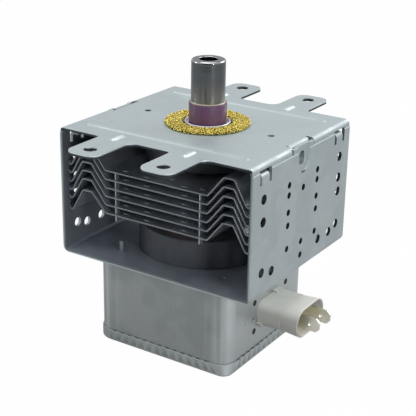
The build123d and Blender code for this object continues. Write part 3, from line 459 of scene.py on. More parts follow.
@dataclass(frozen=True)
class Step:
    """Share that turns from one end to the other as a measure goes up or down through a band.

    Attributes:
        what: The measure.
        band: Values of the measure at the two ends, lengths in millimetres.
        ends: Shares there.
        place: Place, in millimetres, from which a length's distance counts instead of the length.
    """

    what: Measure
    band: Band
    ends: Band = (0.0, 1.0)
    place: float | None = None

    def share(self, graph: Graph) -> Socket:
        """Share at the point at hand."""
        value = graph.measured(self.what)
        if self.place is not None:
            value = graph.away(value, self.place)
        scale = 1 if self.what.value[0] == "direction" else MM
        return graph.between(value, (self.band[0] * scale, self.band[1] * scale), self.ends)


@dataclass(frozen=True)
class Mark:
    """Share that the mesh itself holds, under a name."""

    name: str

    def share(self, graph: Graph) -> Socket:
        """Share at the point at hand."""
        return graph.add("ShaderNodeAttribute", attribute_name=self.name).outputs["Fac"]


@dataclass(frozen=True)
class Zone:
    """Part of a metal's surface coloured apart: heat tint, draw marks, painted highlight or painted shade.

    Attributes:
        colour: Colour of the zone.
        areas: Areas that it covers, each the product of its factors' shares.
    """

    colour: Triple
    areas: tuple[tuple[Step | Cloud | Mark, ...], ...]

    def share(self, graph: Graph) -> Socket:
        """Largest of the areas' shares."""
        shares = ([part.share(graph) for part in area] for area in self.areas)
        return graph.gathered("MAXIMUM", *(graph.gathered("MULTIPLY", *factors) for factors in shares))


# Areas of the yoke, whose plate has its upper face at zero; they carry painted highlights and painted shade
PLATE_TOP = Step(Measure.Z, (-1.6, -1.2))
UNDER_TOP = Step(Measure.Z, (-0.45, -0.6))
# Painted highlights: lighter patches on the ribs at the ears' roots, the beads, the wall rims and the plate's
# edges
RIB_HIGHLIGHTS = (
    Step(Measure.OFF_X, (2.6, 0.7), (0.0, 0.7), place=18.0),
    Step(Measure.OFF_Y, (4.6, 2.6), place=40.75),
    PLATE_TOP,
)
BEAD_HIGHLIGHTS = (
    Step(Measure.OFF_Y, (3.2, 0.6), (0.0, 0.22), place=32.55),
    Step(Measure.OFF_X, (41.5, 34.0)),
    PLATE_TOP,
)
WALL_RIM_HIGHLIGHTS = (
    Step(Measure.OFF_X, (48.0, 48.3)),
    Step(Measure.Z, (-3.6, -3.1)),
    Step(Measure.Z, (-2.84, -2.88)),
)
PLATE_EDGE_HIGHLIGHTS = (
    Step(Measure.UP, (0.99, 0.9)),
    Step(Measure.Z, (-0.6, -0.45)),
    Step(Measure.OFF_Y, (41.3, 41.6)),
)
# Painted shade: faces that look in towards the yoke's middle are darkened
SHADED_INSIDE = (Step(Measure.INWARD, (4.0, 14.0)),)
# Painted shade made lighter in cloudy patches on the upper face of the yoke's floor
PATCHY_FLOOR_SHADE = (Step(Measure.UP, (0.6, 0.95)), Step(Measure.Z, (-55.9, -56.2)), Cloud(45, 2, 0.3, 0.6, 0.55))
# Painted shade: the sides of the holes and slots in the wall at +X are darkened
SHADED_BORES = (
    Step(Measure.LEAN_X, (0.7, 0.5)),
    Step(Measure.X, (46.8, 47.1)),
    Step(Measure.OFF_Y, (41.1, 40.8)),
    Step(Measure.Z, (-54.8, -54.5)),
    Step(Measure.Z, (-12.2, -12.4)),
)
CUT_ENDS = (Step(Measure.LEAN_Y, (0.8, 0.93)), Step(Measure.OFF_Y, (38.0, 38.5)))
# Bare steel of the cut ends and ear edges, darkened to near black with painted shade
SHADED_CUT_YOKE_ENDS = (
    *CUT_ENDS,
    Step(Measure.OFF_X, (47.9, 47.6)),
    Step(Measure.Z, (-57.6, -57.3)),
    Step(Measure.Z, (-1.9, -1.7), (0.7, 1.0)),
    UNDER_TOP,
)
SHADED_CUT_EARS = (
    Step(Measure.LEAN_Z, (0.5, 0.3)),
    Step(Measure.OFF_Y, (41.8, 42.2)),
    Step(Measure.Z, (-1.7, -1.5)),
    UNDER_TOP,
)

# Areas of the box, of its lid and of the antenna's cap
# Painted light: faces that look along X are lightened
SIDE_LIGHT = (Step(Measure.LEAN_X, (0.35, 0.95)),)
# Draw marks near the box's corners, painted lighter as streaks of highlight
CORNER_MARKS_AND_HIGHLIGHTS = (
    Step(Measure.CORNER, (19.0, 30.0)),
    Cloud(300, 3, 0.42, 0.66, most=0.5, grain=Grain.ALONG_Z),
)
# Painted shade in the pleats' valleys and slits, held in the lid's mesh
SHADED_VALLEYS = (Mark(VALLEY_SHADE_MARK),)
HEATED_FOOT = (Step(Measure.Z, (21.0, 9.0)),)
# Painted highlight along the cap's rim
CAP_RIM_HIGHLIGHT = (Step(Measure.Z, (27.5, 27.9)), Step(Measure.UP, (0.99, 0.9)))

# Patterns of the finishes
PATCHES = Cloud(70, 4, 0.38, 0.64, warp=0.4)
STREAKS = Cloud(2600, 3, 0.35, 0.7)
SPECKS = Cloud(1500, 2, 0.66, 0.74)
MOTTLE = Cloud(260, 5, 0.35, 0.68, warp=0.6)
PORES = Cloud(2300, 3, 0.3, 0.46)
FLOW_MARKS = Cloud(90, 3, 0.36, 0.7, warp=1.2, grain=Grain.LEVEL)
MOULD_GRAIN = Cloud(3800, 2)
TARNISH = Cloud(1500, 2, 0.44, 0.6)
WIRE_ROUGHNESS = Cloud(1600, 2, 0.3, 0.7, 0.2, 0.4)

# Tones as multiples of a finish's own colour, roughness, and the depth and reach in millimetres of resin
STREAK_TONE, SPECK_TONE, PORE_TONE, UNDERSIDE_SHADE_TONE = 0.55, 0.3, 0.6, 0.35
STREAK_ROUGHNESS, GRAIN_ROUGHNESS, GLAZE_ROUGHNESS = 0.12, 0.12, 0.08
MOTTLE_ROUGHNESS = (0.85, 1.2)
UNDERSIDE_SHADE_LEAN = (0.3, 0.95)
SCATTER = (1.0, 0.8, 0.5)
GRAIN_DEPTH, SCATTER_REACH = 0.012, 1.2


def toned(colour: Triple, gain: float) -> Triple:
    """Colour times a gain, kept to 1 at most."""
    return tuple(min(1.0, part * gain) for part in colour)


class Finish(ABC):
    """Look of a material."""

    def material(self, name: str) -> bpy.types.Material:
        """Makes the material, under this name."""
        graph = Graph(name)
        self.paint(graph)
        return graph.material

    @abstractmethod
    def paint(self, graph: Graph) -> None:
        """Adds the finish's nodes to a graph."""


@dataclass(frozen=True)
class Metal(Finish):
    """Bare, plated or rolled metal: cloudy tone, fine streaks and a few dark specks, under its zones.

    Attributes:
        colour: Base colour.
        dull: Colour of the duller patches.
        rough: Roughness of the clean metal and of the dull patches.
        grain: Way of the streaks.
        streak: Share of the streaks in tone and roughness.
        speck: Share of the specks.
        bump: Depth of the streaks, in millimetres.
        coat: Weight of a clear film.
        metallic: Share of the metal's own gloss against its dull oxide.
        zones: Zones laid over the metal in order.
    """

    colour: Triple
    dull: Triple
    rough: Band = (0.32, 0.45)
    grain: Grain = Grain.NONE
    streak: float = 0.3
    speck: float = 0.25
    bump: float = 0.01
    coat: float = 0.0
    metallic: float = 1.0
    zones: tuple[Zone, ...] = ()

    def paint(self, graph: Graph) -> None:
        """Lays the streaks, the specks and the zones over the patches."""
        patches = PATCHES.share(graph)
        streaks = replace(STREAKS, grain=self.grain).noise(graph)
        lines = graph.between(streaks, (STREAKS.low, STREAKS.high), (0.0, self.streak))
        specks = replace(SPECKS, most=self.speck).share(graph)
        tone = graph.mixed(patches, self.colour, self.dull)
        tone = graph.mixed(lines, tone, toned(self.colour, STREAK_TONE))
        tone = graph.mixed(specks, tone, toned(self.colour, SPECK_TONE))
        for zone in self.zones:
            tone = graph.mixed(zone.share(graph), tone, zone.colour)
        spread = graph.maths("MULTIPLY_ADD", patches, self.rough[1] - self.rough[0], self.rough[0])
        rough = graph.maths("MULTIPLY_ADD", streaks, STREAK_ROUGHNESS * self.streak, spread)
        graph.surface({"Base Color": tone, "Roughness": rough})
        graph.surface({"Metallic": self.metallic, "Coat Weight": self.coat})
        graph.bumped(streaks, self.bump)


@dataclass(frozen=True)
class Ceramic(Finish):
    """Fired or glazed body: mottled colour and pores.

    Attributes:
        colour: Base colour.
        mottle: Second colour of the body.
        rough: Roughness.
        coat: Weight of the glaze.
        bump: Depth of the pores, in millimetres.
    """

    colour: Triple
    mottle: Triple
    rough: float = 0.4
    coat: float = 0.0
    bump: float = 0.02

    def paint(self, graph: Graph) -> None:
        """Lays the pores over the mottled body."""
        cloud, pores = MOTTLE.share(graph), PORES.share(graph)
        tone = graph.mixed(cloud, self.colour, self.mottle)
        tone = graph.mixed(pores, toned(self.colour, PORE_TONE), tone)
        ends = tuple(min(1.0, self.rough * part) for part in MOTTLE_ROUGHNESS)
        graph.surface({"Base Color": tone, "Roughness": graph.between(cloud, (0.0, 1.0), ends)})
        graph.surface({"Coat Weight": self.coat, "Coat Roughness": GLAZE_ROUGHNESS})
        graph.bumped(pores, self.bump)


@dataclass(frozen=True)
class Plastic(Finish):
    """Moulded or poured resin: faint flow marks, fine moulding grain and a little light carried inside.

    Attributes:
        colour: Base colour.
        shade: Colour of the flow marks.
        rough: Roughness.
        inside: Weight of the light carried inside.
        under: Share of painted shade on the faces that look down.
    """

    colour: Triple
    shade: Triple
    rough: float = 0.42
    inside: float = 0.15
    under: float = 0.0

    def paint(self, graph: Graph) -> None:
        """Lays painted shade on the faces that look down over the flow marks."""
        grain = MOULD_GRAIN.noise(graph)
        tone = graph.mixed(FLOW_MARKS.share(graph), self.colour, self.shade)
        underside_shade = Step(Measure.UP, UNDERSIDE_SHADE_LEAN, (self.under, 0.0)).share(graph)
        tone = graph.mixed(underside_shade, tone, toned(self.shade, UNDERSIDE_SHADE_TONE))
        rough = graph.maths("MULTIPLY_ADD", grain, GRAIN_ROUGHNESS, self.rough)
        graph.surface({"Base Color": tone, "Roughness": rough, "Subsurface Weight": self.inside})
        graph.surface({"Subsurface Radius": SCATTER, "Subsurface Scale": SCATTER_REACH * MM})
        graph.bumped(grain, GRAIN_DEPTH)


@dataclass(frozen=True)
class KnitWire(Finish):
    """Thin brass wire of the gasket, tarnished in places.

    Attributes:
        colour: Colour of the clean wire.
        tarnish: Colour of the tarnished wire.
    """

    colour: Triple = (0.93, 0.80, 0.20)
    tarnish: Triple = (0.42, 0.31, 0.08)

    def paint(self, graph: Graph) -> None:
        """Lays the tarnish over the wire."""
        tone = graph.mixed(TARNISH.share(graph), self.colour, self.tarnish)
        graph.surface({"Base Color": tone, "Roughness": WIRE_ROUGHNESS.share(graph), "Metallic": 1.0})


ZINC = (0.46, 0.525, 0.545)
# Colour of the painted shade inside the yoke
SHADED_ZINC = (0.19, 0.215, 0.25)
BOX_STEEL = (0.36, 0.39, 0.395)
LID_STEEL = (0.41, 0.45, 0.457)

FINISHES: dict[str, Finish] = {
    "galvanised_steel": Metal(
        ZINC, (0.42, 0.48, 0.50), (0.46, 0.56), Grain.ALONG_Y, streak=0.12, speck=0.3, metallic=0.65,
        zones=(
            # Painted highlights on the ribs, the beads, the wall rims and the plate's front and back edges
            Zone(toned(ZINC, 1.5), (RIB_HIGHLIGHTS, BEAD_HIGHLIGHTS, WALL_RIM_HIGHLIGHTS, PLATE_EDGE_HIGHLIGHTS)),
            # Painted shade on the faces that look inwards
            Zone(SHADED_ZINC, (SHADED_INSIDE,)),
            # Lighter cloudy patches of the painted shade on the yoke's floor
            Zone(toned(SHADED_ZINC, 1.75), (PATCHY_FLOOR_SHADE,)),
            # Painted shade in the holes and slots of the wall
            Zone(toned(ZINC, 0.12), (SHADED_BORES,)),
            # Bare cut edges, darkened further with painted shade
            Zone((0.042, 0.048, 0.055), (SHADED_CUT_YOKE_ENDS, SHADED_CUT_EARS)),
        ),
    ),
    "drawn_steel": Metal(
        BOX_STEEL, (0.32, 0.35, 0.355), (0.36, 0.46), Grain.ALONG_Z, 0.12, 0.2, bump=0.004, metallic=0.8,
        # Painted light on the faces along X, and corner draw marks painted lighter as highlights
        zones=(Zone(toned(BOX_STEEL, 1.45), (SIDE_LIGHT,)), Zone(toned(BOX_STEEL, 1.7), (CORNER_MARKS_AND_HIGHLIGHTS,))),
    ),
    "lid_steel": Metal(
        LID_STEEL, (0.35, 0.385, 0.393), (0.5, 0.6), Grain.ALONG_Z, 0.15, 0.2, bump=0.004, metallic=0.35,
        # Painted light on the faces along X, and painted shade in the pleats' valleys and slits
        zones=(Zone(toned(LID_STEEL, 1.1), (SIDE_LIGHT,)), Zone(toned(LID_STEEL, 0.25), (SHADED_VALLEYS,))),
    ),
    "cap_steel": Metal(
        (0.135, 0.147, 0.155), (0.13, 0.138, 0.143), (0.14, 0.18), Grain.ALONG_Z, 0.04, 0.03, bump=0.0004,
        # Heat tint at the foot, and a painted highlight on the rim
        zones=(Zone((0.25, 0.235, 0.205), (HEATED_FOOT,)), Zone((0.4, 0.41, 0.42), (CAP_RIM_HIGHLIGHT,))),
    ),
    "fin_aluminium": Metal(
        (0.58, 0.63, 0.69), (0.50, 0.55, 0.61), (0.3, 0.4), Grain.ALONG_Y, streak=0.25, metallic=0.88,
        zones=(Zone((0.23, 0.242, 0.255), (CUT_ENDS,)),),
    ),
    "fin_lance": Metal((0.26, 0.275, 0.30), (0.2, 0.21, 0.23), (0.4, 0.5), Grain.ALONG_X, metallic=0.6),
    "copper": Metal((0.55, 0.31, 0.21), (0.42, 0.24, 0.16), (0.25, 0.38), streak=0.15, speck=0.1),
    "enamelled_copper": Metal(
        (0.56, 0.22, 0.10), (0.48, 0.18, 0.08), (0.22, 0.3), streak=0.05, speck=0.05, coat=0.8
    ),
    "seal_steel": Metal((0.62, 0.62, 0.65), (0.56, 0.56, 0.59), (0.35, 0.45), streak=0.12, speck=0.1),
    "braze": Metal((0.52, 0.46, 0.36), (0.42, 0.36, 0.27), (0.4, 0.55), streak=0.2, speck=0.1, metallic=0.7),
    "molybdenum": Metal((0.46, 0.45, 0.44), (0.40, 0.39, 0.38), (0.3, 0.4), Grain.ALONG_Z),
    "thoriated_tungsten": Metal((0.20, 0.20, 0.21), (0.15, 0.15, 0.16), (0.45, 0.6)),
    "plated_tags": Metal((0.62, 0.61, 0.56), (0.55, 0.54, 0.49), (0.26, 0.36), Grain.ALONG_X, 0.2),
    "plated_tab": Metal((0.94, 0.92, 0.81), (0.88, 0.86, 0.75), (0.3, 0.42), Grain.ALONG_X, 0.2, 0.15),
    "ferrite": Ceramic((0.05, 0.056, 0.067), (0.064, 0.071, 0.083), 0.5),
    "choke_ferrite": Ceramic((0.05, 0.047, 0.045), (0.07, 0.065, 0.06), 0.7),
    "violet_ceramic": Ceramic((0.138, 0.057, 0.132), (0.122, 0.05, 0.117), 0.46, coat=0.4, bump=0.006),
    "capacitor_ceramic": Ceramic((0.46, 0.32, 0.2), (0.40, 0.28, 0.17), 0.55),
    # The shroud gets painted shade on the faces that look down
    "shroud_plastic": Plastic((0.96, 0.96, 0.91), (0.92, 0.92, 0.86), 0.3, 0.15, 0.75),
    "potting_resin": Plastic((0.70, 0.62, 0.34), (0.64, 0.55, 0.29), 0.3, 0.3),
    "knitted_brass": KnitWire(),
    # Inner layer of the gasket: wire coloured dark as painted shade between the loops
    "shaded_knit_core": KnitWire((0.22, 0.16, 0.045), (0.12, 0.09, 0.025)),
}


class Wardrobe:
    """Materials made once each from the finishes, and put on pieces and nodes."""

    def __init__(self) -> None:
        """Starts with no material made."""
        self.made: dict[str, bpy.types.Material] = {}

    def get(self, slot: str) -> bpy.types.Material:
        """Material of a slot, made at its first use."""
        if slot not in self.made:
            self.made[slot] = FINISHES[slot].material(slot + "_finish")
        return self.made[slot]

    def dress(self, piece: bpy.types.Object, slot: str, finish: str | None = None) -> None:
        """Puts a finish on a new piece and rides it on the body.

        Args:
            piece: The piece.
            slot: The record's material slot.
            finish: Finish of the piece, where it isn't the slot's own.
        """
        piece.data.materials.append(self.get(finish or slot))
        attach(piece, "root")
        LOG.info("%s: %d faces, %s", piece.name, len(piece.data.polygons), slot)

    def dress_nodes(self) -> None:
        """Puts each node's finish into its own material slots."""
        for part in frame["record"]["subparts"]:
            node = frame["nodes"][part["node"]]
            for place in node.material_slots:
                place.material = self.get(part["material_slot"])
            LOG.info("%s: node in %s", part["node"], part["material_slot"])


@dataclass
class Gasket:
    """Ring of knitted brass wire, pressed to a flat rounded section round the antenna's foot.

    The sways are seeded slow waves that make the loops uneven, as shares of a stitch or of a course.
    """

    inner_radius: float = 10.8
    outer_radius: float = 19.0
    height: float = 1.5
    edge_radius: float = 0.65
    edge_steps: int = 5
    spacing: float = 0.12
    wire_radius: float = 0.16
    wire_sides: int = 4
    wire_aside: Triple = (0.13, 0.21, 1.0)
    courses: int = 11
    course_shift: float = 0.37
    stitches: int = 62
    stitch_points: int = 12
    loop_lean: float = 0.24
    loop_reach: float = 0.85
    loop_depth: float = 0.16
    seed: int = 7
    sway_waves: int = 3
    sway_counts: tuple[int, int] = (5, 29)
    sway_round: float = 0.5
    sway_reach: float = 0.25
    sway_across: float = 0.3
    slope_step: float = 0.05
    core_radius: float = 0.4
    core_spacing: float = 0.5

    def ring(self, inset: float, radius: float) -> list[Triple]:
        """Corners of the ring's section, in radius and height, drawn in by an inset."""
        low, high = inset, self.height - inset
        near, far = self.inner_radius + inset, self.outer_radius - inset
        return [(near, low, radius), (far, low, radius), (far, high, radius), (near, high, radius)]

    def section(self) -> np.ndarray:
        """Closed section that the wires' middles follow, inside the wire's own thickness."""
        inset = self.wire_radius + self.loop_depth
        corners = self.ring(inset, self.edge_radius - inset / 2)
        outline = dense(rounded(corners, self.edge_steps), self.spacing)
        return np.vstack([outline, outline[:1]])

    def wires(self) -> np.ndarray:
        """Middles of the wires, one closed course a row.

        Along a course with stitch angle t the wire's place round the ring is t + lean sin 2t, its place
        round the section is the course's own plus reach cos t, and its height over the section is depth
        cos 2t, all made uneven by the sway.
        """
        section = self.section()
        length = lengths(section)
        total = length[-1]

        def at(place: np.ndarray) -> list[np.ndarray]:
            """Radius and height of places along the section."""
            return [np.interp(place % total, length, section[:, k]) for k in range(2)]

        course = np.arange(self.courses)[:, None]
        step = np.arange(self.stitches * self.stitch_points)[None, :]
        stitch = step / self.stitch_points * FULL_TURN
        draw, shape = np.random.default_rng(self.seed), (self.courses, self.sway_waves)
        waves, phases = draw.integers(*self.sway_counts, shape), draw.uniform(0, FULL_TURN, shape)
        round_ring = step / step.size * FULL_TURN
        sway = np.sin(waves[:, :, None] * round_ring + phases[:, :, None]).mean(axis=1)
        lean = self.loop_lean * np.sin(2 * stitch) + self.sway_round * sway + self.course_shift * course
        angle = round_ring + lean * FULL_TURN / self.stitches
        reach = self.loop_reach * np.cos(stitch) * (1 + self.sway_reach * sway)
        place = (course + reach + self.sway_across * sway) * total / self.courses
        radius, height = at(place)
        next_radius, next_height = at(place + self.slope_step)
        out_r, out_z = next_height - height, radius - next_radius
        lift = self.loop_depth * np.cos(2 * stitch) / (np.hypot(out_r, out_z) + TINY)
        radius, height = radius + out_r * lift, height + out_z * lift
        return np.stack([radius * np.cos(angle), radius * np.sin(angle), height], axis=-1)

    def knit(self) -> bpy.types.Object:
        """Sweeps the wire's section along every course.

        The section's points are middle + r (cos a side + sin a up), with side across the wire's run and
        up square to both.
        """
        middle = self.wires()
        run = np.roll(middle, -1, axis=1) - np.roll(middle, 1, axis=1)
        run /= np.linalg.norm(run, axis=-1, keepdims=True)
        side = np.cross(run, np.array(self.wire_aside))
        side /= np.linalg.norm(side, axis=-1, keepdims=True)
        up = np.cross(run, side)
        around = (np.arange(self.wire_sides) + 0.5) * FULL_TURN / self.wire_sides
        offset = np.cos(around)[:, None] * side[:, :, None] + np.sin(around)[:, None] * up[:, :, None]
        points = middle[:, :, None] + self.wire_radius * offset
        quads = grid_quads(middle.shape[1], self.wire_sides, copies=self.courses)
        return mesh_piece("gasket_knit", points, quads)

    def build(self, wardrobe: Wardrobe) -> None:
        """Makes the knit over a thin inner layer, coloured dark as painted shade between the loops."""
        knit = self.knit()
        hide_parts("rf_gasket")
        wardrobe.dress(knit, "knitted_brass")
        corners = self.ring(2 * self.wire_radius + self.loop_depth, self.core_radius)
        core = turned("gasket_shaded_core", dense(rounded(corners), self.core_spacing))
        wardrobe.dress(core, "knitted_brass", "shaded_knit_core")


@dataclass
class Antenna:
    """Capped antenna: a drawn cap with a sunk well, brazed on a violet ceramic tube."""

    cap_radius: float = 7.5
    cap_foot: float = 9.7
    cap_top: float = 28.5
    cap_sheet: float = 0.5
    foot_radius: float = 0.12
    rim_radius: float = 0.9
    lip_radius: float = 0.3
    well_radius: float = 4.1
    well_floor: float = 23.5
    well_fillet: float = 0.5
    under_well_radius: float = 0.7
    under_lip_radius: float = 0.2
    under_rim_radius: float = 0.4
    cap_steps: int = 8
    cap_spacing: float = 0.16
    pole_clear: float = 0.1
    columns: int = 160
    ring_depth: float = 0.025
    ring_pitch: float = 0.62
    ring_low: float = 24.0
    ring_high: float = 27.4
    ring_fade: float = 0.3
    tube_radius: float = 8.35
    tube_bore: float = 6.3
    tube_foot: float = 0.3
    tube_edge: float = 0.3
    tube_spacing: float = 0.4
    braze_width: float = 0.45
    braze_sink: float = 0.05
    braze_shoulder: float = 0.18
    braze_inner_edge: float = 0.02
    braze_outer_edge: float = 0.06

    def cap(self) -> bpy.types.Object:
        """Cap's sheet as an outline from pole to pole, with fine turned rings under its rim."""
        sheet, rim, well = self.cap_sheet, self.cap_radius, self.well_radius
        top, foot, floor = self.cap_top, self.cap_foot, self.well_floor
        corners = [
            (0.0, floor - sheet, SHARP),
            (well + sheet, floor - sheet, self.under_well_radius),
            (well + sheet, top - sheet, self.under_lip_radius),
            (rim - sheet, top - sheet, self.under_rim_radius),
            (rim - sheet, foot, self.foot_radius),
            (rim, foot, self.foot_radius),
            (rim, top, self.rim_radius),
            (well, top, self.lip_radius),
            (well, floor, self.well_fillet),
            (0.0, floor, SHARP),
        ]
        outline = dense(rounded(corners, self.cap_steps), self.cap_spacing)
        outline = capped(outline, 0.0, self.pole_clear)
        radius, height = outline[:, 0], outline[:, 1]
        inside = ramp(np.minimum(height - self.ring_low, self.ring_high - height), 0, self.ring_fade)
        wave = self.ring_depth * (1 + np.cos(height / self.ring_pitch * FULL_TURN)) / 2
        outline[:, 0] -= np.where(radius > rim - sheet / 2, inside * wave, 0)
        return turned("antenna_cap_turned", outline, self.columns, closed=False)

    def tube(self) -> bpy.types.Object:
        """Ceramic tube with ground edges."""
        ends = [
            (self.tube_radius, self.tube_foot),
            (self.tube_radius, self.cap_foot),
            (self.tube_bore, self.cap_foot),
            (self.tube_bore, self.tube_foot),
        ]
        outline = rounded([(*end, self.tube_edge) for end in ends])
        return turned("antenna_tube_glazed", dense(outline, self.tube_spacing), self.columns)

    def braze(self) -> bpy.types.Object:
        """Fillet of braze where the cap stands on the tube."""
        low, high = self.cap_foot, self.cap_foot + self.braze_width
        inner = self.cap_radius - self.braze_sink
        corners = [
            (inner, low, self.braze_inner_edge),
            (self.cap_radius + self.braze_width, low, self.braze_outer_edge),
            (inner + self.braze_shoulder, high, self.braze_outer_edge),
            (inner, high, self.braze_inner_edge),
        ]
        return turned("antenna_braze_ring", rounded(corners))

    def build(self, wardrobe: Wardrobe) -> None:
        """Makes the cap, the tube and the braze."""
        cap = self.cap()
        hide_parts("antenna_cap")
        wardrobe.dress(cap, "cap_steel")
        tube = self.tube()
        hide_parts("antenna_ceramic")
        wardrobe.dress(tube, "violet_ceramic")
        wardrobe.dress(self.braze(), "seal_steel", "braze")


@dataclass
class Lid:
    """Lid of the filter box: a flat pan whose skirt is pleated along its sides and slit beside the pleats."""

    centre: Band = BOX_MIDDLE
    half_width: float = 35.55
    half_depth: float = 34.55
    top_radius: float = 8.3
    foot_radii: tuple[float, ...] = (8.3, 4.6, 8.3, 4.6)
    straight_inset: float = 8.4
    straight_size: float = 1e-6
    underside: float = -99.9
    top: float = -94.6
    sheet: float = 0.5
    edge_radius: float = 0.9
    rim_radius: float = 0.42
    lip_radius: float = 0.05
    floor_fillet: float = 0.5
    pleat_height: float = 0.45
    pleat_pitch: float = 4.1
    pleat_width: float = 3.3
    pleat_power: float = 1.6
    skirt_inset: float = 1.2
    skirt_start: float = 0.5
    skirt_span: float = 1.4
    slit_inset: float = 7.9
    slit_half_width: float = 0.3
    slit_depth: float = 0.3
    slit_shade: float = 1.3
    valley_shade: float = 0.6
    shade_start: float = 1.6
    shade_span: float = 2.6
    blend_start: float = 1.0
    blend_span: float = 6.0
    corner_steps: int = 16
    spacing: float = 0.28
    profile_spacing: float = 0.45
    reach: float = 34.0
    flat_start: float = 1.6
    flat_step: int = 6
    pole_clear: float = 0.3

    def half(self) -> np.ndarray:
        """Half width and half depth."""
        return np.array([self.half_width, self.half_depth])

    def outline(self, radii: tuple[float, ...]) -> np.ndarray:
        """Rounded rectangle with as many points for any corner radii: an arc at each, then a straight run."""
        places = self.half() * np.array([(-1, -1), (1, -1), (1, 1), (-1, 1)])
        corners = [(*place, radius) for place, radius in zip(places, radii)]
        arcs = rounded(corners, self.corner_steps).reshape(4, self.corner_steps + 1, 2)
        spans = int(2 * self.half_width / self.spacing)
        part = np.linspace(0, 1, spans + 1)[1:-1, None]
        runs = arcs[:, -1:, :] * (1 - part) + np.roll(arcs, -1, axis=0)[:, :1, :] * part
        return np.concatenate([arcs, runs], axis=1).reshape(-1, 2)

    def profile(self) -> np.ndarray:
        """Section of the pan from middle to middle, as inset and height, with fewer points on the flat."""
        sheet, under, reach = self.sheet, self.underside, self.reach
        corners = [
            (reach, under, SHARP),
            (0.0, under, self.edge_radius),
            (0.0, self.top, self.rim_radius),
            (sheet, self.top, self.lip_radius),
            (sheet, under + sheet, self.floor_fillet),
            (reach, under + sheet, SHARP),
        ]
        line = dense(rounded(corners), self.profile_spacing)
        line = line[(line[:, 0] < self.flat_start) | (np.arange(len(line)) % self.flat_step == 0)]
        return capped(line, reach, self.pole_clear)

    def pleats(self, along: np.ndarray, length: np.ndarray) -> np.ndarray:
        """Height of the pleats along a straight side, as a share: cos^power across each pleat's width.

        Args:
            along: Place along the side, from its middle.
            length: Half length of the side.

        Returns:
            The share, which is zero between and beside the pleats.
        """
        phase = (along / self.pleat_pitch + 0.5) % 1 - 0.5
        off = np.abs(phase) * self.pleat_pitch
        shape = np.clip(np.cos(off / self.pleat_width * math.pi), 0, 1) ** self.pleat_power
        inside = (length - np.abs(along) > self.straight_inset) & (off < self.pleat_width / 2)
        return np.where(inside, shape, 0)

    def pan(self) -> bpy.types.Object:
        """Pan as a profile carried round the outline: each profile point is an inset from it and a height.

        The outline's corner radii turn from the foot's to the rim's with height. On the skirt a pleat adds
        to the outline wherever it runs straight, and a slit takes its depth off. Towards the middle the
        inset becomes a share of the outline, so that the floor closes in one point.
        """
        inset, height = self.profile().T
        low, high = self.outline(self.foot_radii), self.outline((self.top_radius,) * 4)
        climb = ramp(height, self.underside, self.top - self.underside)[:, None, None]
        edge = low[None] * (1 - climb) + high[None] * climb
        inner = self.half() - self.top_radius
        out = high - np.clip(high, -inner, inner)
        out /= np.linalg.norm(out, axis=1, keepdims=True)
        across = np.abs(out[:, 1]) > np.abs(out[:, 0])
        straight = np.min(np.abs(out), axis=1) < self.straight_size
        along = np.where(across, high[:, 0], high[:, 1])
        length = np.where(across, self.half_width, self.half_depth)
        shape = np.where(straight, self.pleats(along, length), 0)
        slit_off = np.abs(np.abs(along) - (length - self.slit_inset))
        slit = straight & (slit_off < self.slit_half_width)
        rise = eased(height, self.underside + self.skirt_start, self.skirt_span)
        skirt = ((inset < self.skirt_inset) * rise)[:, None]
        swell = skirt * (self.pleat_height * shape - self.slit_depth * slit)[None, :]
        near = edge - out[None] * inset[:, None, None]
        far = edge * (1 - inset[:, None, None] / self.reach)
        blend = ramp(inset, self.blend_start, self.blend_span)[:, None, None]
        plan = near * (1 - blend) + far * blend + out[None] * swell[:, :, None] + np.array(self.centre)
        level = np.broadcast_to(height[:, None, None], (*swell.shape, 1))
        grid = np.concatenate([plan, level], axis=-1)
        # Painted shade held in the mesh: dark between the pleats and in the slits, fading upwards from the
        # foot
        fade = 1 - ramp(height, self.underside + self.shade_start, self.shade_span)[:, None]
        between = straight & (length - np.abs(along) > self.straight_inset)
        valley_painted_shade = self.valley_shade * skirt * (inset < self.sheet / 2)[:, None]
        valley_painted_shade = valley_painted_shade * (fade * np.where(between, 1 - shape, 0) + self.slit_shade * slit)
        quads = grid_quads(len(inset), len(high), False)
        return mesh_piece("filter_lid_pleated", grid, quads, {VALLEY_SHADE_MARK: valley_painted_shade.ravel()})

    def build(self, wardrobe: Wardrobe) -> None:
        """Makes the pan."""
        pan = self.pan()
        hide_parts("filter_lid")
        wardrobe.dress(pan, "drawn_steel", "lid_steel")


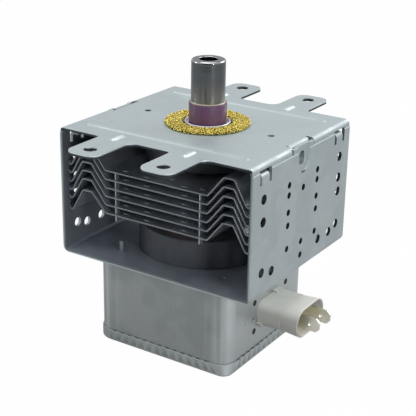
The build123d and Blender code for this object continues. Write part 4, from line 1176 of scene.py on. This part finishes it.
@dataclass
class Lances:
    """Small bridges lanced up from the fins, as low ovals that are half sunk in each fin's upper face."""

    places: tuple[Band, ...] = ((-17.7, -35.8), (3.9, -32.4), (21.0, -35.2), (-6.0, -36.6), (13.0, -36.8))
    half_size: Triple = (1.5, 0.35, 0.3)
    rows: int = 12
    columns: int = 24

    def tops(self) -> np.ndarray:
        """Points on the fins' upper faces, found straight below each place and its half-turn copy."""
        found = []
        for number in range(1, FIN_COUNT + 1):
            work = bmesh.new()
            work.from_mesh(frame["nodes"][f"cooling_fin_{number}"].data)
            tree = BVHTree.FromBMesh(work)
            work.free()
            for x, y in self.places:
                for side in (1, -1):
                    hit = tree.ray_cast(Vector((side * x, side * y, 0)) * MM, Vector((0, 0, -1)))[0]
                    if hit is not None:
                        found.append(tuple(hit / MM))
        return np.array(found)

    def build(self, wardrobe: Wardrobe) -> None:
        """Makes one oval at each place: (a cos u cos v, b cos u sin v, c sin u), with u from pole to pole."""
        u = np.linspace(-math.pi / 2, math.pi / 2, self.rows)[:, None]
        v = (np.arange(self.columns) * FULL_TURN / self.columns)[None, :]
        a, b, c = self.half_size
        ball = np.stack(
            [a * np.cos(u) * np.cos(v), b * np.cos(u) * np.sin(v), c * np.sin(u) + 0 * v], axis=-1
        )
        centres = self.tops()
        points = centres[:, None, :] + ball.reshape(1, -1, 3)
        quads = grid_quads(self.rows, self.columns, False, len(centres))
        wardrobe.dress(mesh_piece("fin_lances", points, quads), "fin_aluminium", "fin_lance")


@dataclass
class Sheetwork:
    """Stamped and drawn sheet parts, whose cut edges are a little rounded."""

    radii: dict[str, float] = field(
        default_factory=lambda: {
            "upper_yoke": 0.24,
            "yoke_frame": 0.14,
            "filter_box": 0.1,
            **{f"cooling_fin_{number}": 0.08 for number in range(1, FIN_COUNT + 1)},
        }
    )

    def build(self, wardrobe: Wardrobe) -> None:
        """Rounds each part's edges."""
        slots = {part["node"]: part["material_slot"] for part in frame["record"]["subparts"]}
        for node, radius in self.radii.items():
            wardrobe.dress(softened_copy(node + "_rounded", node, radius), slots[node])


@dataclass(frozen=True)
class Lamp:
    """Soft rectangular lamp that looks at a point in the object, with its lengths in metres.

    Attributes:
        name: Name of the lamp.
        place: Its place.
        size: Its width and height.
        power: Its power, in watts.
        aim: Point that it looks at.
    """

    name: str
    place: Triple
    size: Band
    power: float
    aim: Triple = (0.0, 0.0, -0.04)

    def build(self) -> None:
        """Makes the lamp."""
        data = bpy.data.lights.new(self.name, "AREA")
        data.shape = "RECTANGLE"
        data.size, data.size_y = self.size
        data.energy = self.power
        lamp = linked(self.name, data)
        lamp.location = self.place
        lamp.rotation_mode = "QUATERNION"
        lamp.rotation_quaternion = (Vector(self.aim) - lamp.location).to_track_quat("-Z", "Y")


@dataclass
class Studio:
    """Plain pale studio: white floor and world, soft lamps, and a dark flag that only gloss sees.

    The floor's height and gap are in millimetres, and the other lengths in metres.
    """

    floor: float = -99.9
    floor_gap: float = 0.05
    floor_half: float = 6.0
    floor_colour: Triple = (0.42, 0.42, 0.42)
    floor_white: Band = (0.99, 0.3)
    world_white: Band = (1.0, 0.75)
    world_light: float = 0.36
    flag_size: Band = (1.5, 0.75)
    flag_distance: float = 0.75
    flag_way: Triple = (0.54, -0.84, 0.0)
    flag_across: Triple = (0.84, 0.54, 0.0)
    flag_colour: Triple = (0.03, 0.03, 0.035)
    lamps: tuple[Lamp, ...] = (
        Lamp("lamp_over", (-0.1, 0.0, 0.95), (0.9, 0.7), 6.0),
        Lamp("lamp_back", (0.36, 0.85, 0.55), (0.8, 0.45), 4.4),
        Lamp("lamp_right_front", (0.8, -0.4, 0.15), (0.16, 0.5), 3.4),
        Lamp("lamp_left", (-0.9, -0.5, 0.25), (0.3, 0.5), 2.2),
    )

    def whitened(
        self, nodes: Nodes, first: bpy.types.Node, white: bpy.types.Node, shares: Band, output: str
    ) -> None:
        """Mixes a shader that gathers light with a white one, by the ray at hand.

        Args:
            nodes: Tree that gets the nodes.
            first: Shader that gathers light.
            white: White shader.
            shares: Share of white for camera rays, and for glossy and transmission rays.
            output: Kind of the output node.
        """
        path, (seen, mirrored) = nodes.add("ShaderNodeLightPath").outputs, shares
        rays = {"Is Camera Ray": seen, "Is Glossy Ray": mirrored, "Is Transmission Ray": mirrored}
        scaled = [nodes.maths("MULTIPLY", path[ray], share) for ray, share in rays.items()]
        sockets = {0: nodes.gathered("MAXIMUM", *scaled), 1: first.outputs[0], 2: white.outputs[0]}
        nodes.add(output, {0: nodes.add("ShaderNodeMixShader", sockets).outputs[0]})

    def sheet(self, name: str, corners: list[tuple], material: bpy.types.Material) -> bpy.types.Object:
        """One flat face of the studio, from its corners in metres."""
        mesh = bpy.data.meshes.new(name)
        mesh.from_pydata(corners, [], [(0, 1, 2, 3)])
        mesh.materials.append(material)
        made = linked(name, mesh)
        return made

    def build_flag(self) -> None:
        """Makes the dark flag behind the camera, which only gloss sees."""
        width, height = self.flag_size
        place = Vector(self.flag_way) * self.flag_distance
        across = Vector(self.flag_across) * width / 2
        level = self.floor * MM
        ends = [place - across, place + across]
        corners = [(*end.xy, level) for end in ends] + [(*end.xy, level + height) for end in reversed(ends)]
        cloth = Graph("studio_flag_cloth")
        cloth.surface({"Base Color": self.flag_colour})
        flag = self.sheet("studio_flag", corners, cloth.material)
        flag.visible_camera = flag.visible_diffuse = flag.visible_shadow = flag.visible_transmission = False

    def build_floor(self) -> None:
        """Makes the floor, which keeps the object's shadow."""
        side, level = self.floor_half, (self.floor - self.floor_gap) * MM
        corners = [(-side, -side, level), (side, -side, level), (side, side, level), (-side, side, level)]
        paint = bpy.data.materials.new("studio_floor_paint")
        nodes = Nodes(paint)
        matt = nodes.add("ShaderNodeBsdfDiffuse", {"Color": self.floor_colour})
        white = nodes.add("ShaderNodeEmission", {"Strength": 1.0})
        self.whitened(nodes, matt, white, self.floor_white, "ShaderNodeOutputMaterial")
        self.sheet("studio_floor", corners, paint)

    def build_world(self) -> None:
        """Makes the world: white where it is seen, pale where it lights."""
        world = bpy.data.worlds.new("studio_world")
        bpy.context.scene.world = world
        nodes = Nodes(world)
        pale = nodes.add("ShaderNodeBackground", {"Strength": self.world_light})
        white = nodes.add("ShaderNodeBackground", {"Strength": 1.0})
        self.whitened(nodes, pale, white, self.world_white, "ShaderNodeOutputWorld")

    def build(self) -> None:
        """Makes the floor, the world, the flag and the lamps."""
        self.build_floor()
        self.build_world()
        self.build_flag()
        for lamp in self.lamps:
            lamp.build()


@dataclass
class Eye:
    """Camera at the place and with the lens solved from the real object's edges, its clip in metres."""

    place: Triple = (247.3556, -383.5836, 138.5301)
    right: Triple = (0.83763417, 0.54595267, 0.01745504)
    down: Triple = (0.21251698, -0.29628598, -0.93115582)
    forward: Triple = (-0.50319532, 0.78367742, -0.36420347)
    lens: float = 94.344
    sensor: float = 36.0
    clip: Band = (0.01, 50.0)

    def build(self) -> None:
        """Makes the scene's camera, whose columns are right, up and back."""
        data = bpy.data.cameras.new("eye")
        data.lens, data.sensor_width, data.sensor_fit = self.lens, self.sensor, "HORIZONTAL"
        data.clip_start, data.clip_end = self.clip
        camera = linked("eye", data)
        axes = np.array([self.right, [-v for v in self.down], [-v for v in self.forward]]).T
        turn = Matrix(axes.tolist()).to_4x4()
        camera.matrix_world = Matrix.Translation(Vector(self.place) * MM) @ turn
        bpy.context.scene.camera = camera


def main() -> None:
    """Builds the camera, the pieces and the studio in order."""
    logging.basicConfig(level=logging.INFO, format="%(name)s: %(message)s")
    bpy.context.scene.view_settings.view_transform = "Standard"
    Eye().build()
    Studio().build()
    wardrobe = Wardrobe()
    wardrobe.dress_nodes()
    for assembly in (Sheetwork(), Lances(), Gasket(), Antenna(), Lid()):
        assembly.build(wardrobe)
        LOG.info("%s built", type(assembly).__name__)


if __name__ == "__main__":
    main()
